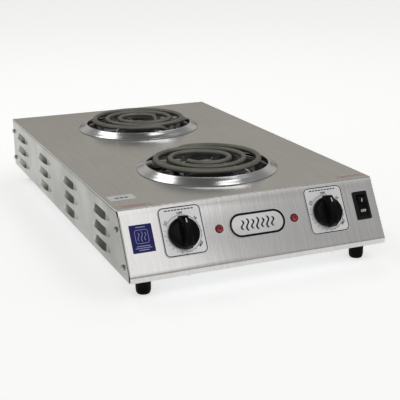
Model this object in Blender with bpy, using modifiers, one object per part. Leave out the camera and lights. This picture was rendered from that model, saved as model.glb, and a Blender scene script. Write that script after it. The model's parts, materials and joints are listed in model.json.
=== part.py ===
"""Countertop hot plate with two tubular elements, one behind the other, on a folded steel housing.

Metres, +Z up. The origin is on the surface under the feet, at the middle of the footprint.
The controls face -Y, and +X is to the right of someone standing at the controls.
"""

import bmesh
import bpy
from math import atan2, cos, hypot, pi, radians, sin
from mathutils import Matrix, Vector

# Housing
WIDTH = 0.356
DEPTH = 0.612
BODY_HEIGHT = 0.0794
FOOT_HEIGHT = 0.025
FRONT_SETBACK = 0.0413
LIP_HEIGHT = 0.0072
SHEET = 0.001
GAP = 0.0003
TUCK = 0.0014
FLANGE = 0.014
SCREW_FLANGE = 0.024
FOLD_RADIUS = 0.0022

BODY_Z = FOOT_HEIGHT
DECK_Z = BODY_Z + BODY_HEIGHT
LIP_Z = BODY_Z + LIP_HEIGHT
FRONT_Y = -DEPTH / 2
REAR_Y = DEPTH / 2
DECK_FRONT_Y = FRONT_Y + FRONT_SETBACK
SLOPE_ANGLE = atan2(DECK_Z - LIP_Z, FRONT_SETBACK)
SLOPE_LENGTH = hypot(DECK_Z - LIP_Z, FRONT_SETBACK)
INNER_HALF = WIDTH / 2 - TUCK
BASE_Z = BODY_Z + SHEET + GAP

# Louvres pressed out of the side panels
LOUVRE_TOPS = (BODY_Z + 0.0250, BODY_Z + 0.0458, BODY_Z + 0.0666)
LOUVRE_HEIGHT = 0.0096
LOUVRE_DEPTH = 0.0045
LOUVRE_FLAT = 0.021
LOUVRE_END = 0.012
LOUVRE_PITCH = 0.145
LOUVRE_COUNT = 4
LOUVRE_MIDDLE_Y = (DECK_FRONT_Y + REAR_Y) / 2 - 0.003

# Burners
BURNERS = {"front": (-0.127, pi), "rear": (0.156, 0.0)}
HOLE_R = 0.087
RING_OUTER_R = 0.0977
RING_INNER_R = 0.086
RING_RISE = 0.009
BOWL_DEPTH = 0.027
TUBE_R = 0.0039
TUBE_RISE = 0.0135
TURN_RADII = (0.031, 0.0512, 0.0712)
LEAD_DROP = 0.0135
LEAD_XS = (0.012, 0.034)
PIVOT_R = 0.094
ARM_ANGLES = (radians(107), radians(227), radians(347))
ARM_TOP = TUBE_RISE - TUBE_R - GAP
ARM_REACH = 0.0855

# Controls: across from the middle, and down the slope from its top fold
KNOB_X = 0.1001
KNOB_DROP = 0.0387
KNOB_R = 0.020
KNOB_HEIGHT = 0.021
SHAFT_R = 0.003
BUSH_R = 0.0045
PLATE_SIZE = (0.0561, 0.0619)
PLATE_DROP = 0.0350
PLATE_THICK = 0.0005
LAMP_X = 0.0523
LAMP_DROP = 0.0394
LAMP_R = 0.0046
BADGE_SIZE = (0.078, 0.032)
BADGE_DROP = 0.0394
SWITCH_X = 0.1537
SWITCH_DROP = 0.0362
SWITCH_SIZE = (0.0208, 0.0376)
SWITCH_BODY = (0.0186, 0.0330)
ROCKER_SIZE = (0.0122, 0.0256)
ROCKER_TILT = radians(7)
ROCKER_PIVOT = -0.003

FOOT_X = 0.151
FOOT_Y = 0.2775
FOOT_R = 0.0102
SCREW_HEAD_R = 0.0036
SCREW_SHANK_R = 0.0019
SCREW_HOLE_R = 0.0023
GLAND_X = 0.120
GLAND_Z = 0.056
GLAND_R = 0.0090
GLAND_OUT = 0.00386


def clear_scene():
    for obj in list(bpy.data.objects):
        bpy.data.objects.remove(obj, do_unlink=True)


def new_collection(name):
    group = bpy.data.collections.new(name)
    bpy.context.scene.collection.children.link(group)
    return group


def new_material(name, colour, roughness, metallic):
    material = bpy.data.materials.new(name)
    material.use_nodes = True
    shader = material.node_tree.nodes["Principled BSDF"]
    shader.inputs["Base Color"].default_value = (*colour, 1.0)
    shader.inputs["Roughness"].default_value = roughness
    shader.inputs["Metallic"].default_value = metallic
    return material


def put(obj, material=None, parent=None, group=None):
    """Links an object into the model, or into the group given, with its material and its parent."""
    for old in list(obj.users_collection):
        old.objects.unlink(obj)
    (group or parts).objects.link(obj)
    if material:
        obj.data.materials.clear()
        obj.data.materials.append(material)
    if parent:
        obj.parent = parent
    return obj


def smooth(obj, angle=radians(35)):
    obj.data.shade_smooth()
    obj.data.set_sharp_from_angle(angle=angle)
    return obj


def empty(name, matrix):
    guide = bpy.data.objects.new(name, None)
    parts.objects.link(guide)
    guide.matrix_world = matrix
    return guide


def panel_frame(x, drop):
    """The frame of a control: +Z out of the sloping front, +Y up the slope, its origin on the outer face."""
    down = Vector((0, -cos(SLOPE_ANGLE), -sin(SLOPE_ANGLE)))
    at = Vector((x, DECK_FRONT_Y, DECK_Z)) + down * drop
    return Matrix.Translation(at) @ Matrix.Rotation(SLOPE_ANGLE, 4, "X")


def slope_y(z):
    """Where the outer front face is at a height."""
    if z <= LIP_Z:
        return FRONT_Y
    return FRONT_Y + FRONT_SETBACK * (z - LIP_Z) / (DECK_Z - LIP_Z)


def mesh_object(name, work):
    mesh = bpy.data.meshes.new(name)
    work.to_mesh(mesh)
    work.free()
    return bpy.data.objects.new(name, mesh)


def box(name, size, at=(0, 0, 0)):
    """A box with its middle at the place given."""
    work = bmesh.new()
    bmesh.ops.create_cube(work, size=1.0)
    bmesh.ops.scale(work, vec=size, verts=work.verts)
    bmesh.ops.translate(work, vec=at, verts=work.verts)
    return mesh_object(name, work)


def cylinder(name, radius, low, high, sides=24, at=(0, 0), radius_top=None):
    """A cylinder or cone along Z from low to high."""
    work = bmesh.new()
    bmesh.ops.create_cone(
        work,
        cap_ends=True,
        segments=sides,
        radius1=radius,
        radius2=radius if radius_top is None else radius_top,
        depth=high - low,
    )
    bmesh.ops.translate(work, vec=(at[0], at[1], (low + high) / 2), verts=work.verts)
    return mesh_object(name, work)


def turned(name, profile, steps, closed=True):
    """A shape turned about Z. The profile is (radius, height) points that run down the outer side."""
    work = bmesh.new()
    points = [work.verts.new((r, 0, z)) for r, z in profile]
    for first, second in zip(points, points[1:]):
        work.edges.new((first, second))
    if closed:
        work.edges.new((points[-1], points[0]))
    obj = mesh_object(name, work)
    screw = obj.modifiers.new("turn", "SCREW")
    screw.steps = screw.render_steps = steps
    screw.use_merge_vertices = True
    screw.merge_threshold = 0.00002
    screw.use_smooth_shade = True
    return obj


def flat_shape(name, outlines, thickness, low=0.0):
    """A plate of the outlines, the first with the others cut out of it, standing on the height low."""
    curve = bpy.data.curves.new(name, "CURVE")
    curve.dimensions = "2D"
    curve.fill_mode = "BOTH"
    curve.extrude = thickness / 2
    for outline in outlines:
        spline = curve.splines.new("POLY")
        spline.points.add(len(outline) - 1)
        for point, (x, y) in zip(spline.points, outline):
            point.co = (x, y, 0, 1)
        spline.use_cyclic_u = True
    obj = bpy.data.objects.new(name, curve)
    obj.location.z = low + thickness / 2
    return obj


def arc(cx, cy, radius, start, end, steps):
    return [
        (cx + radius * cos(start + (end - start) * k / steps), cy + radius * sin(start + (end - start) * k / steps))
        for k in range(steps + 1)
    ]


def circle(cx, cy, radius, sides):
    return arc(cx, cy, radius, 0, 2 * pi, sides)[:-1]


def rounded_rectangle(width, height, radius, steps=4, at=(0, 0)):
    x, y = width / 2 - radius, height / 2 - radius
    corners = ((x, y, 0), (-x, y, pi / 2), (-x, -y, pi), (x, -y, 3 * pi / 2))
    return [
        point
        for cx, cy, start in corners
        for point in arc(at[0] + cx, at[1] + cy, radius, start, start + pi / 2, steps)
    ]


def as_mesh(obj):
    """The object again as a plain mesh, so that it can be cut or joined."""
    cutters.objects.link(obj)
    bpy.context.view_layer.update()
    evaluated = obj.evaluated_get(bpy.context.evaluated_depsgraph_get())
    mesh = bpy.data.meshes.new_from_object(evaluated)
    work = bmesh.new()
    work.from_mesh(mesh)
    bmesh.ops.remove_doubles(work, verts=work.verts, dist=0.00001)
    work.to_mesh(mesh)
    work.free()
    name, place = obj.name, obj.matrix_world.copy()
    bpy.data.objects.remove(obj, do_unlink=True)
    made = bpy.data.objects.new(name, mesh)
    made.matrix_world = place
    return made


def boolean(obj, other, operation):
    """Cuts or joins another object, which becomes a helper that isn't part of the model."""
    change = obj.modifiers.new(operation.lower(), "BOOLEAN")
    change.operation = operation
    change.object = other
    change.solver = "EXACT"
    other.hide_render = True
    other.display_type = "WIRE"
    if not other.users_collection:
        cutters.objects.link(other)
    return obj


def cut(obj, other):
    return boolean(obj, other, "DIFFERENCE")


def join(obj, other):
    return boolean(obj, other, "UNION")


def helper(obj, matrix=None, parent=None):
    """A cutter or joined shape, linked beside the model and placed."""
    put(obj, group=cutters, parent=parent)
    if matrix is not None:
        obj.matrix_world = matrix
    return obj


def sheet_metal(obj, radius=FOLD_RADIUS, thickness=SHEET):
    """Rounds an open surface's folds and gives it its thickness, inwards from its faces."""
    if radius:
        fold = obj.modifiers.new("folds", "BEVEL")
        fold.limit_method = "ANGLE"
        fold.angle_limit = radians(20)
        fold.width = radius
        fold.segments = 2
    thick = obj.modifiers.new("thickness", "SOLIDIFY")
    thick.thickness = thickness
    thick.offset = -1
    thick.use_even_offset = True
    return obj


def tube(name, route, radius, resolution=2):
    """A round bar along a list of (x, y, z, share of the radius) points."""
    curve = bpy.data.curves.new(name, "CURVE")
    curve.dimensions = "3D"
    curve.bevel_depth = radius
    curve.bevel_resolution = resolution
    curve.use_fill_caps = True
    spline = curve.splines.new("POLY")
    spline.points.add(len(route) - 1)
    for point, (x, y, z, share) in zip(spline.points, route):
        point.co = (x, y, z, 1)
        point.radius = share
    return bpy.data.objects.new(name, curve)


def smooth_route(points, spacing):
    """Points read off one smooth curve through the points given."""
    ends = [points[0], *points, points[-1]]
    route = []
    for a, b, c, d in zip(ends, ends[1:], ends[2:], ends[3:]):
        a, b, c, d = Vector(a), Vector(b), Vector(c), Vector(d)
        steps = max(1, round((c - b).length / spacing))
        for k in range(steps):
            t = k / steps
            route.append(
                0.5 * (2 * b + (c - a) * t + (2 * a - 5 * b + 4 * c - d) * t**2 + (3 * b - a - 3 * c + d) * t**3)
            )
    route.append(Vector(points[-1]))
    return [(p.x, p.y, p.z, 1.0) for p in route]


def make_top_deck():
    """One sheet folded into the deck, the sloping front, its lip and a return under it, with a flange at
    each side of the slope for the side panels' screws."""
    half = WIDTH / 2
    flange_top, flange_low = DECK_Z - 0.007, LIP_Z + 0.004
    profile = [
        (half, REAR_Y, DECK_Z),
        (half, DECK_FRONT_Y + 0.004, DECK_Z),
        (INNER_HALF, DECK_FRONT_Y, DECK_Z),
        (INNER_HALF, slope_y(flange_top), flange_top),
        (INNER_HALF, slope_y(flange_low), flange_low),
        (INNER_HALF, FRONT_Y, LIP_Z),
        (INNER_HALF, FRONT_Y, BODY_Z),
        (INNER_HALF - 0.018, FRONT_Y + FLANGE, BODY_Z),
    ]
    work = bmesh.new()
    left = [work.verts.new((-x, y, z)) for x, y, z in profile]
    right = [work.verts.new((x, y, z)) for x, y, z in profile]
    for k in range(len(profile) - 1):
        work.faces.new((left[k], left[k + 1], right[k + 1], right[k]))
    for side in (left, right):
        edge = work.edges.get((side[3], side[4]))
        made = bmesh.ops.extrude_edge_only(work, edges=[edge])["geom"]
        grown = [v for v in made if isinstance(v, bmesh.types.BMVert)]
        bmesh.ops.translate(work, vec=(0, SCREW_FLANGE, 0), verts=grown)
    bmesh.ops.recalc_face_normals(work, faces=work.faces)
    work.faces.ensure_lookup_table()
    if work.faces[0].normal.z < 0:
        bmesh.ops.reverse_faces(work, faces=work.faces)
    deck = sheet_metal(put(mesh_object("top_deck", work), brushed_steel))
    for name, (y, _) in BURNERS.items():
        hole = cylinder(f"{name}_hole", HOLE_R, DECK_Z - 0.01, DECK_Z + 0.01, 40, at=(0, y))
        cut(deck, helper(hole))
    for side, x in (("left", -1), ("right", 1)):
        bore = cylinder(f"{side}_bush_hole", BUSH_R + 0.0006, -0.01, 0.01, 16)
        cut(deck, helper(bore, panel_frame(x * KNOB_X, KNOB_DROP)))
        bore = cylinder(f"{side}_lamp_hole", LAMP_R - 0.0006, -0.01, 0.01, 16)
        cut(deck, helper(bore, panel_frame(x * LAMP_X, LAMP_DROP)))
    opening = box("switch_opening", (SWITCH_BODY[0] + 0.0008, SWITCH_BODY[1] + 0.0008, 0.02))
    cut(deck, helper(opening, panel_frame(SWITCH_X, SWITCH_DROP)))
    return deck


def louvre_lines():
    """The lines across a side panel at which its louvres change shape, each with how far the hood stands out."""
    lines = []
    first = LOUVRE_MIDDLE_Y - LOUVRE_PITCH * (LOUVRE_COUNT - 1) / 2
    for k in range(LOUVRE_COUNT):
        middle = first + k * LOUVRE_PITCH
        reach = LOUVRE_FLAT + LOUVRE_END
        shape = ((-reach, 0), (-LOUVRE_FLAT, 1), (LOUVRE_FLAT, 1), (reach, 0))
        lines += [(middle + offset, LOUVRE_DEPTH * share) for offset, share in shape]
    return lines


def side_path():
    """The side panel's section from its lower return to its upper one: how far in from the outer face, the
    height, and the louvre edge that it is."""
    r = FOLD_RADIUS
    top = DECK_Z - SHEET - GAP
    path = [(FLANGE, BODY_Z, "")]
    path += [(r, BODY_Z, ""), (0, BODY_Z + r, "")]
    for z in LOUVRE_TOPS:
        path += [(0, z - LOUVRE_HEIGHT, "sill"), (0, z - LOUVRE_HEIGHT, "lip"), (0, z, "")]
    path += [(0, top - r, ""), (r, top, "")]
    path += [(FLANGE, top, "")]
    return path


def make_side_panel(name, side):
    """A folded sheet with louvres: hoods pushed outwards, each open along its lower edge."""
    work = bmesh.new()
    lines = louvre_lines()
    below = None
    for inset, z, edge in side_path():
        front = slope_y(z) + 0.003 + (inset if inset > FOLD_RADIUS else 0)
        rear = REAR_Y - 0.003 - (inset if inset > FOLD_RADIUS else 0)
        row = []
        for k, (y, out) in enumerate([(front, 0), *lines, (rear, 0)]):
            if edge == "lip" and out == 0:
                row.append(below[k])
            else:
                x = WIDTH / 2 - inset + (out if edge == "lip" else 0)
                row.append(work.verts.new((side * x, y, z)))
        if below and edge != "lip":
            for k in range(len(row) - 1):
                work.faces.new((below[k], below[k + 1], row[k + 1], row[k]))
        below = row
    bmesh.ops.recalc_face_normals(work, faces=work.faces)
    work.faces.ensure_lookup_table()
    wall = max(work.faces, key=lambda face: face.calc_area() * abs(face.normal.x))
    if wall.normal.x * side < 0:
        bmesh.ops.reverse_faces(work, faces=work.faces)
    panel = sheet_metal(put(mesh_object(name, work), brushed_steel), radius=0)
    return panel


def make_rear_panel():
    """The upright back, with returns on all four sides."""
    top, half = DECK_Z - SHEET - GAP, INNER_HALF
    rows = (BODY_Z, BODY_Z + 0.006, top - 0.006, top)
    work = bmesh.new()
    grid = [[work.verts.new((x, REAR_Y, z)) for x in (-half, -half + 0.02, half - 0.02, half)] for z in rows]
    for low, high in zip(grid, grid[1:]):
        for k in range(3):
            work.faces.new((low[k], low[k + 1], high[k + 1], high[k]))
    returns = (
        (grid[1][0], grid[2][0], SCREW_FLANGE),
        (grid[1][3], grid[2][3], SCREW_FLANGE),
        (grid[0][1], grid[0][2], FLANGE),
        (grid[3][1], grid[3][2], FLANGE),
    )
    for first, second, reach in returns:
        made = bmesh.ops.extrude_edge_only(work, edges=[work.edges.get((first, second))])["geom"]
        grown = [v for v in made if isinstance(v, bmesh.types.BMVert)]
        bmesh.ops.translate(work, vec=(0, -reach, 0), verts=grown)
    bmesh.ops.recalc_face_normals(work, faces=work.faces)
    work.faces.ensure_lookup_table()
    if work.faces[0].normal.y < 0:
        bmesh.ops.reverse_faces(work, faces=work.faces)
    panel = sheet_metal(put(mesh_object("rear_panel", work), brushed_steel))
    bore = cylinder("gland_hole", GLAND_R + GAP, -0.01, 0.01, 24)
    place = Matrix.Translation((GLAND_X, REAR_Y, GLAND_Z)) @ Matrix.Rotation(pi / 2, 4, "X")
    return cut(panel, helper(bore, place))


def side_screw_places():
    """Where a side panel's screws are: two into the deck's flange and two into the rear panel's."""
    upper, lower = BODY_Z + 0.0550, BODY_Z + 0.0144
    return {
        "front_upper": (slope_y(upper) + 0.0175, upper),
        "front_lower": (slope_y(lower) + 0.0175, lower),
        "rear_upper": (REAR_Y - 0.0095, BODY_Z + 0.0600),
        "rear_lower": (REAR_Y - 0.0095, BODY_Z + 0.0141),
    }


def pan_screw(name, length, sides=8):
    """A pan-head screw along +Z, its head's seat at the origin."""
    r, h = SCREW_HEAD_R, 0.0026
    profile = [
        (0, h),
        (r * 0.70, h * 0.94),
        (r, h * 0.40),
        (r, 0),
        (SCREW_SHANK_R, 0),
        (SCREW_SHANK_R * 0.8, -length),
        (0, -length),
    ]
    return put(turned(name, profile, sides, closed=False), zinc)


def make_side_screws(sides):
    """The screws that hold the side panels, and their holes."""
    for label, side in (("left", -1), ("right", 1)):
        for place, (y, z) in side_screw_places().items():
            frame = Matrix.Translation((side * (WIDTH / 2 + GAP), y, z)) @ Matrix.Rotation(side * pi / 2, 4, "Y")
            pan_screw(f"{label}_{place}_screw", 0.007).matrix_world = frame
            hole = cylinder(f"{label}_{place}_hole", SCREW_HOLE_R, -0.008, 0.004, 10)
            helper(hole, frame)
            cut(sides[label], hole)
            cut(bpy.data.objects["top_deck" if "front" in place else "rear_panel"], hole)


def base_screw_places():
    """Where the base plate is fixed to the returns of the deck and of the rear panel."""
    return [(x, y) for y in (FRONT_Y + 0.0085, REAR_Y - 0.0085) for x in (-0.100, 0.100)]


def make_base_plate():
    """The removable plate under the housing, with cooling slots, on the sheets' lower returns."""
    half_x, half_y = INNER_HALF - 0.002, DEPTH / 2 - SHEET - 0.0016
    outline = [(-half_x, -half_y), (half_x, -half_y), (half_x, half_y), (-half_x, half_y)]
    slots = [
        rounded_rectangle(0.006, 0.060, 0.002, 1, at=(x * 0.024, y))
        for y in (-0.127, 0.156)
        for x in (-2, -1, 0, 1, 2)
    ]
    studs = [circle(x, y, 0.0030, 10) for x in (-FOOT_X, FOOT_X) for y in (-FOOT_Y, FOOT_Y)]
    screws = [circle(x, y, SCREW_HOLE_R, 10) for x, y in base_screw_places()]
    plate = as_mesh(flat_shape("base_plate", [outline, *slots, *studs, *screws], SHEET, BASE_Z))
    return put(plate, galvanised)


def make_base_screws():
    """The base plate's screws, up through the deck's and the rear panel's lower returns."""
    for k, (x, y) in enumerate(base_screw_places()):
        name = f"base_screw_{k + 1}"
        frame = Matrix.Translation((x, y, BODY_Z - GAP)) @ Matrix.Rotation(pi, 4, "X")
        pan_screw(name, 0.006).matrix_world = frame
        hole = cylinder(f"{name}_hole", SCREW_HOLE_R, -0.008, 0.004, 10)
        helper(hole, frame)
        cut(bpy.data.objects["top_deck" if y < 0 else "rear_panel"], hole)


def make_foot(name, x, y):
    """A rubber foot and the stud that holds it, with a washer under the base plate and a nut over it."""
    top = BASE_Z - 0.0018
    profile = [
        (FOOT_R, top),
        (FOOT_R * 0.92, 0.0030),
        (FOOT_R * 0.76, 0),
        (0.0056, 0),
        (0.0056, 0.0068),
        (0.0028, 0.0068),
        (0.0028, top),
    ]
    foot = put(turned(f"{name}_foot", profile, 12), rubber)
    foot.location = (x, y, 0)
    stud_profile = [
        (0, BASE_Z + 0.0056),
        (0.0046, BASE_Z + 0.0050),
        (0.0046, BASE_Z + SHEET + GAP),
        (0.0024, BASE_Z + SHEET + GAP),
        (0.0024, BASE_Z - GAP),
        (0.0118, BASE_Z - GAP),
        (0.0118, top + GAP),
        (0.0024, top + GAP),
        (0.0024, 0.0065),
        (0.0050, 0.0065),
        (0.0050, 0.0040),
        (0, 0.0040),
    ]
    stud = put(turned(f"{name}_foot_stud", stud_profile, 8, closed=False), zinc)
    stud.location = (x, y, 0)


def make_trim_ring(name, frame):
    """The chromed ring round the burner: a cone that rises to a rolled inner rim."""
    r0, r1, h, t = RING_OUTER_R, RING_INNER_R, RING_RISE, 0.0007
    profile = [
        (r0 - 0.0045, 0.0034),
        (r0, GAP + 0.0009),
        (r0, GAP),
        (r0 - 0.0008, GAP),
        (r0 - 0.0050, 0.0034 - t),
        (r1 + 0.0006, h - 0.0008),
        (r1 - 0.0010, h - 0.0030),
        (r1 - 0.0017, h - 0.0030),
        (r1 - 0.0014, h - 0.0006),
        (r1 + 0.0006, h),
    ]
    return put(turned(f"{name}_trim_ring", profile, 30), chrome, frame)


def make_drip_bowl(name, frame):
    """The reflector pan under the element: it hangs by its rim in the deck's hole, open in the middle, with
    an opening in its wall for the element's ends."""
    t, d = 0.0007, BOWL_DEPTH
    profile = [
        (0.0912, GAP + t),
        (0.0912, GAP),
        (HOLE_R - 0.0016, GAP),
        (0.0812, -d * 0.62),
        (0.0680, -d),
        (0.0232, -d - 0.0024),
        (0.0232, -d + 0.0014),
        (0.0239, -d + 0.0014),
        (0.0239, -d - 0.0024 + t),
        (0.0678, -d + t),
        (0.0812 - t, -d * 0.62 + 0.0003),
        (HOLE_R - 0.0022, GAP + t),
    ]
    bowl = put(turned(f"{name}_drip_bowl", profile, 24), chrome, frame)
    low, high = -LEAD_DROP - 0.0055, -LEAD_DROP + 0.0085
    middle = sum(LEAD_XS) / 2
    notch = box(f"{name}_bowl_notch", (0.036, 0.030, high - low), (middle, -0.085, (low + high) / 2))
    return cut(bowl, helper(notch, parent=frame))


def ease(t):
    t = min(1.0, max(0.0, t))
    return t * t * (3 - 2 * t)


def turn_radius(angle):
    """The element's radius where it has wound this far: even turns, joined on the terminals' side."""
    turn = int(angle // (2 * pi))
    share = ease((angle - 2 * pi * turn - radians(225)) / radians(120))
    following = TURN_RADII[min(turn + 1, len(TURN_RADII) - 1)]
    return TURN_RADII[turn] + (following - TURN_RADII[turn]) * share


def element_route():
    """The heating tube: in at one terminal, up to the inner turn, out round the turns, and down again."""
    x_in, x_out = LEAD_XS
    up, low, socket = TUBE_RISE, -LEAD_DROP, -PIVOT_R - 0.014
    pin_share = 0.42
    ends_in = [(x_in, socket, low, pin_share), (x_in, -PIVOT_R - 0.001, low, pin_share), (x_in, -PIVOT_R, low, 1)]
    inner = smooth_route(
        [(x_in, -PIVOT_R + 0.004, low), (x_in, -0.052, low), (0.0165, -0.030, low), (0.0262, -0.012, low + 0.0025),
         (0.0304, -0.0012, low + 0.0140), (0.0307, 0.0042, up - 0.0035)],
        0.008,
    )
    start, end, per_turn = radians(14), radians(2 * 360 + 268), 20
    steps = round((end - start) / (2 * pi) * per_turn)
    angles = [start + (end - start) * k / steps for k in range(steps + 1)]
    turns = [(turn_radius(a) * cos(a), turn_radius(a) * sin(a), up, 1) for a in angles]
    outer = smooth_route(
        [(0.0105, -0.0702, up - 0.0010), (0.0210, -0.0672, up - 0.0070), (0.0290, -0.0650, up - 0.0160),
         (0.0332, -0.0690, low + 0.0035), (x_out, -0.0770, low), (x_out, -PIVOT_R + 0.004, low)],
        0.006,
    )
    ends_out = [(x_out, -PIVOT_R, low, 1), (x_out, -PIVOT_R - 0.001, low, pin_share), (x_out, socket, low, pin_share)]
    return [*ends_in, *inner, *turns, *outer, *ends_out]


def arm_outline():
    """One support arm seen from its side: a strip on edge under the turns, with a finger outside each."""
    finger, low = TUBE_RISE, 0.0032
    points = [(0.0095, low), (0.0740, low), (0.0800, RING_RISE + GAP), (ARM_REACH + 0.0008, RING_RISE + GAP)]
    points += [(ARM_REACH + 0.0008, finger - 0.002), (0.0800, finger), (0.0770, finger), (0.0770, ARM_TOP)]
    for inner, outer in ((0.0565, 0.0655), (0.0365, 0.0455)):
        points += [(outer, ARM_TOP), (outer, finger), (inner, finger), (inner, ARM_TOP)]
    return [*points, (0.0260, ARM_TOP), (0.0095, ARM_TOP - 0.003)]


def make_element_support(name, frame):
    """The three-armed carrier that the turns lie on, its tips on the trim ring."""
    medallion = [(0, 0.0078), (0.0090, 0.0076), (0.0120, 0.0064), (0.0120, 0.0012), (0, 0.0012)]
    hub = turned(f"{name}_element_support", medallion, 16, closed=False)
    hub = put(as_mesh(hub), support_steel, frame)
    for k, angle in enumerate(ARM_ANGLES):
        arm = as_mesh(flat_shape(f"{name}_arm_{k + 1}", [arm_outline()], 0.0014, -0.0007))
        helper(arm, parent=frame)
        arm.matrix_local = Matrix.Rotation(angle, 4, "Z") @ Matrix.Rotation(pi / 2, 4, "X")
        join(hub, arm)
    return hub


def make_receptacle(name, frame):
    """The ceramic block that the element's pins plug into, and the bracket that hangs it from the deck."""
    middle, depth, height, width = sum(LEAD_XS) / 2, 0.020, 0.018, 0.044
    y = -PIVOT_R - 0.0018 - depth / 2
    block = put(box(f"{name}_receptacle", (width, depth, height), (middle, y, -LEAD_DROP - 0.0005)), ceramic, frame)
    for k, x in enumerate(LEAD_XS):
        slot = box(f"{name}_slot_{k + 1}", (0.0056, 0.0165, 0.0104), (x, y + depth / 2 - 0.0060, -LEAD_DROP - 0.0012))
        cut(block, helper(slot, parent=frame))
    foot_y = y - depth / 2 - GAP
    work = bmesh.new()
    top, low = -SHEET - GAP, -LEAD_DROP - 0.0095
    section = [(foot_y - 0.016, top), (foot_y, top), (foot_y, low - GAP), (foot_y + 0.012, low - GAP)]
    rows = [[work.verts.new((middle + x, sy, sz)) for sy, sz in section] for x in (-0.014, 0.014)]
    for k in range(3):
        work.faces.new((rows[0][k], rows[0][k + 1], rows[1][k + 1], rows[1][k]))
    bmesh.ops.recalc_face_normals(work, faces=work.faces)
    work.faces.ensure_lookup_table()
    if work.faces[0].normal.z < 0:
        bmesh.ops.reverse_faces(work, faces=work.faces)
    bracket = put(mesh_object(f"{name}_receptacle_bracket", work), galvanised, frame)
    return sheet_metal(bracket, radius=0.001)


def make_burner(name, y, turn):
    """Everything of one burner, in a frame at the deck's surface with the terminals towards -Y."""
    place = Matrix.Translation((0, y, DECK_Z)) @ Matrix.Rotation(turn, 4, "Z")
    frame = empty(f"{name}_burner", place)
    make_trim_ring(name, frame)
    make_drip_bowl(name, frame)
    pivot = empty(f"{name}_lift", place @ Matrix.Translation((0, -PIVOT_R, -LEAD_DROP)))
    carried = empty(f"{name}_carried", Matrix.Identity(4))
    carried.parent = pivot
    carried.location = (0, PIVOT_R, LEAD_DROP)
    put(tube(f"{name}_element", element_route(), TUBE_R), sheath, carried)
    make_element_support(name, carried)
    make_receptacle(name, frame)


def make_knob(name, frame):
    """A round knob with a tall grip bar across it, hollow at the back, on a flat-sided shaft."""
    low, skirt = PLATE_THICK + 2 * GAP + 0.0006, 0.0078
    profile = [
        (0, 0.0090),
        (KNOB_R * 0.84, 0.0088),
        (KNOB_R * 0.97, skirt),
        (KNOB_R, low),
        (KNOB_R - 0.0016, low),
        (KNOB_R - 0.0016, 0.0056),
        (0, 0.0056),
    ]
    knob = put(as_mesh(turned(f"{name}_knob", profile, 24, closed=False)), black_plastic, frame)
    half_base, half_top, tip = 0.0066, 0.0042, KNOB_R + 0.0016
    work = bmesh.new()
    bmesh.ops.create_cube(work, size=1.0)
    for vert in work.verts:
        top = vert.co.z > 0
        up = vert.co.y > 0
        reach = (tip if up else KNOB_R * 0.94) - (0.0022 if top else 0)
        half = half_top if top else half_base
        vert.co = (half if vert.co.x > 0 else -half, reach if up else -reach, KNOB_HEIGHT if top else 0.0070)
    grip = helper(mesh_object(f"{name}_grip", work), parent=frame)
    soften = grip.modifiers.new("edges", "BEVEL")
    soften.width = 0.0014
    soften.segments = 2
    join(knob, grip)
    bore = helper(cylinder(f"{name}_knob_bore", SHAFT_R + GAP, 0.0, 0.0165, 12), parent=frame)
    cut(knob, bore)
    shaft = put(cylinder(f"{name}_shaft", SHAFT_R, -0.012, 0.0160, 12), zinc, frame)
    flat = helper(box(f"{name}_shaft_flat", (0.01, 0.004, 0.012), (0, SHAFT_R + 0.0010, 0.0110)), parent=frame)
    cut(shaft, flat)


def make_regulator(name, frame):
    """The energy regulator behind the panel, its threaded bush through the panel, and the bush's nut."""
    low, face = -0.0290, -SHEET - GAP
    case = put(box(f"{name}_regulator", (0.038, 0.040, face - low), (0, 0, (low + face) / 2)), bakelite, frame)
    bush = helper(cylinder(f"{name}_bush", BUSH_R, face - 0.002, 0.0044, 16), parent=frame)
    join(case, bush)
    cut(case, helper(cylinder(f"{name}_bore", SHAFT_R + GAP, -0.0130, 0.0060, 12), parent=frame))
    tabs = helper(box(f"{name}_tabs", (0.024, 0.003, 0.008), (0, 0.010, low - 0.0030)), parent=frame)
    join(case, tabs)
    seat = PLATE_THICK + 2 * GAP
    nut = flat_shape(
        f"{name}_regulator_nut", [circle(0, 0, 0.0080, 6), circle(0, 0, BUSH_R + GAP, 16)], 0.0022, seat
    )
    put(as_mesh(nut), zinc).parent = frame


def make_dial_plate(name, side):
    """The printed plate under a knob, bored for the regulator's bush."""
    frame = empty(f"{name}_plate_place", panel_frame(side * KNOB_X, PLATE_DROP))
    outline = rounded_rectangle(*PLATE_SIZE, 0.0065, 4)
    bore = circle(0, PLATE_DROP - KNOB_DROP, BUSH_R + 0.0006, 16)
    plate = as_mesh(flat_shape(f"{name}_dial_plate", [outline, bore], PLATE_THICK, GAP))
    put(plate, plate_silver, frame)


def make_lamp(name, side):
    """A pilot lamp: a red lens in front of the panel, and its holder behind."""
    frame = empty(f"{name}_lamp_place", panel_frame(side * LAMP_X, LAMP_DROP))
    r, bore = LAMP_R, LAMP_R - 0.0010
    profile = [(0, 0.0034), (r * 0.7, 0.0026), (r, GAP), (bore, GAP), (bore, -0.0070), (0, -0.0070)]
    put(turned(f"{name}_lamp_lens", profile, 16, closed=False), red_lens, frame)
    put(cylinder(f"{name}_lamp_holder", 0.0052, -0.0240, -0.0073, 14), nylon, frame)


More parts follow.
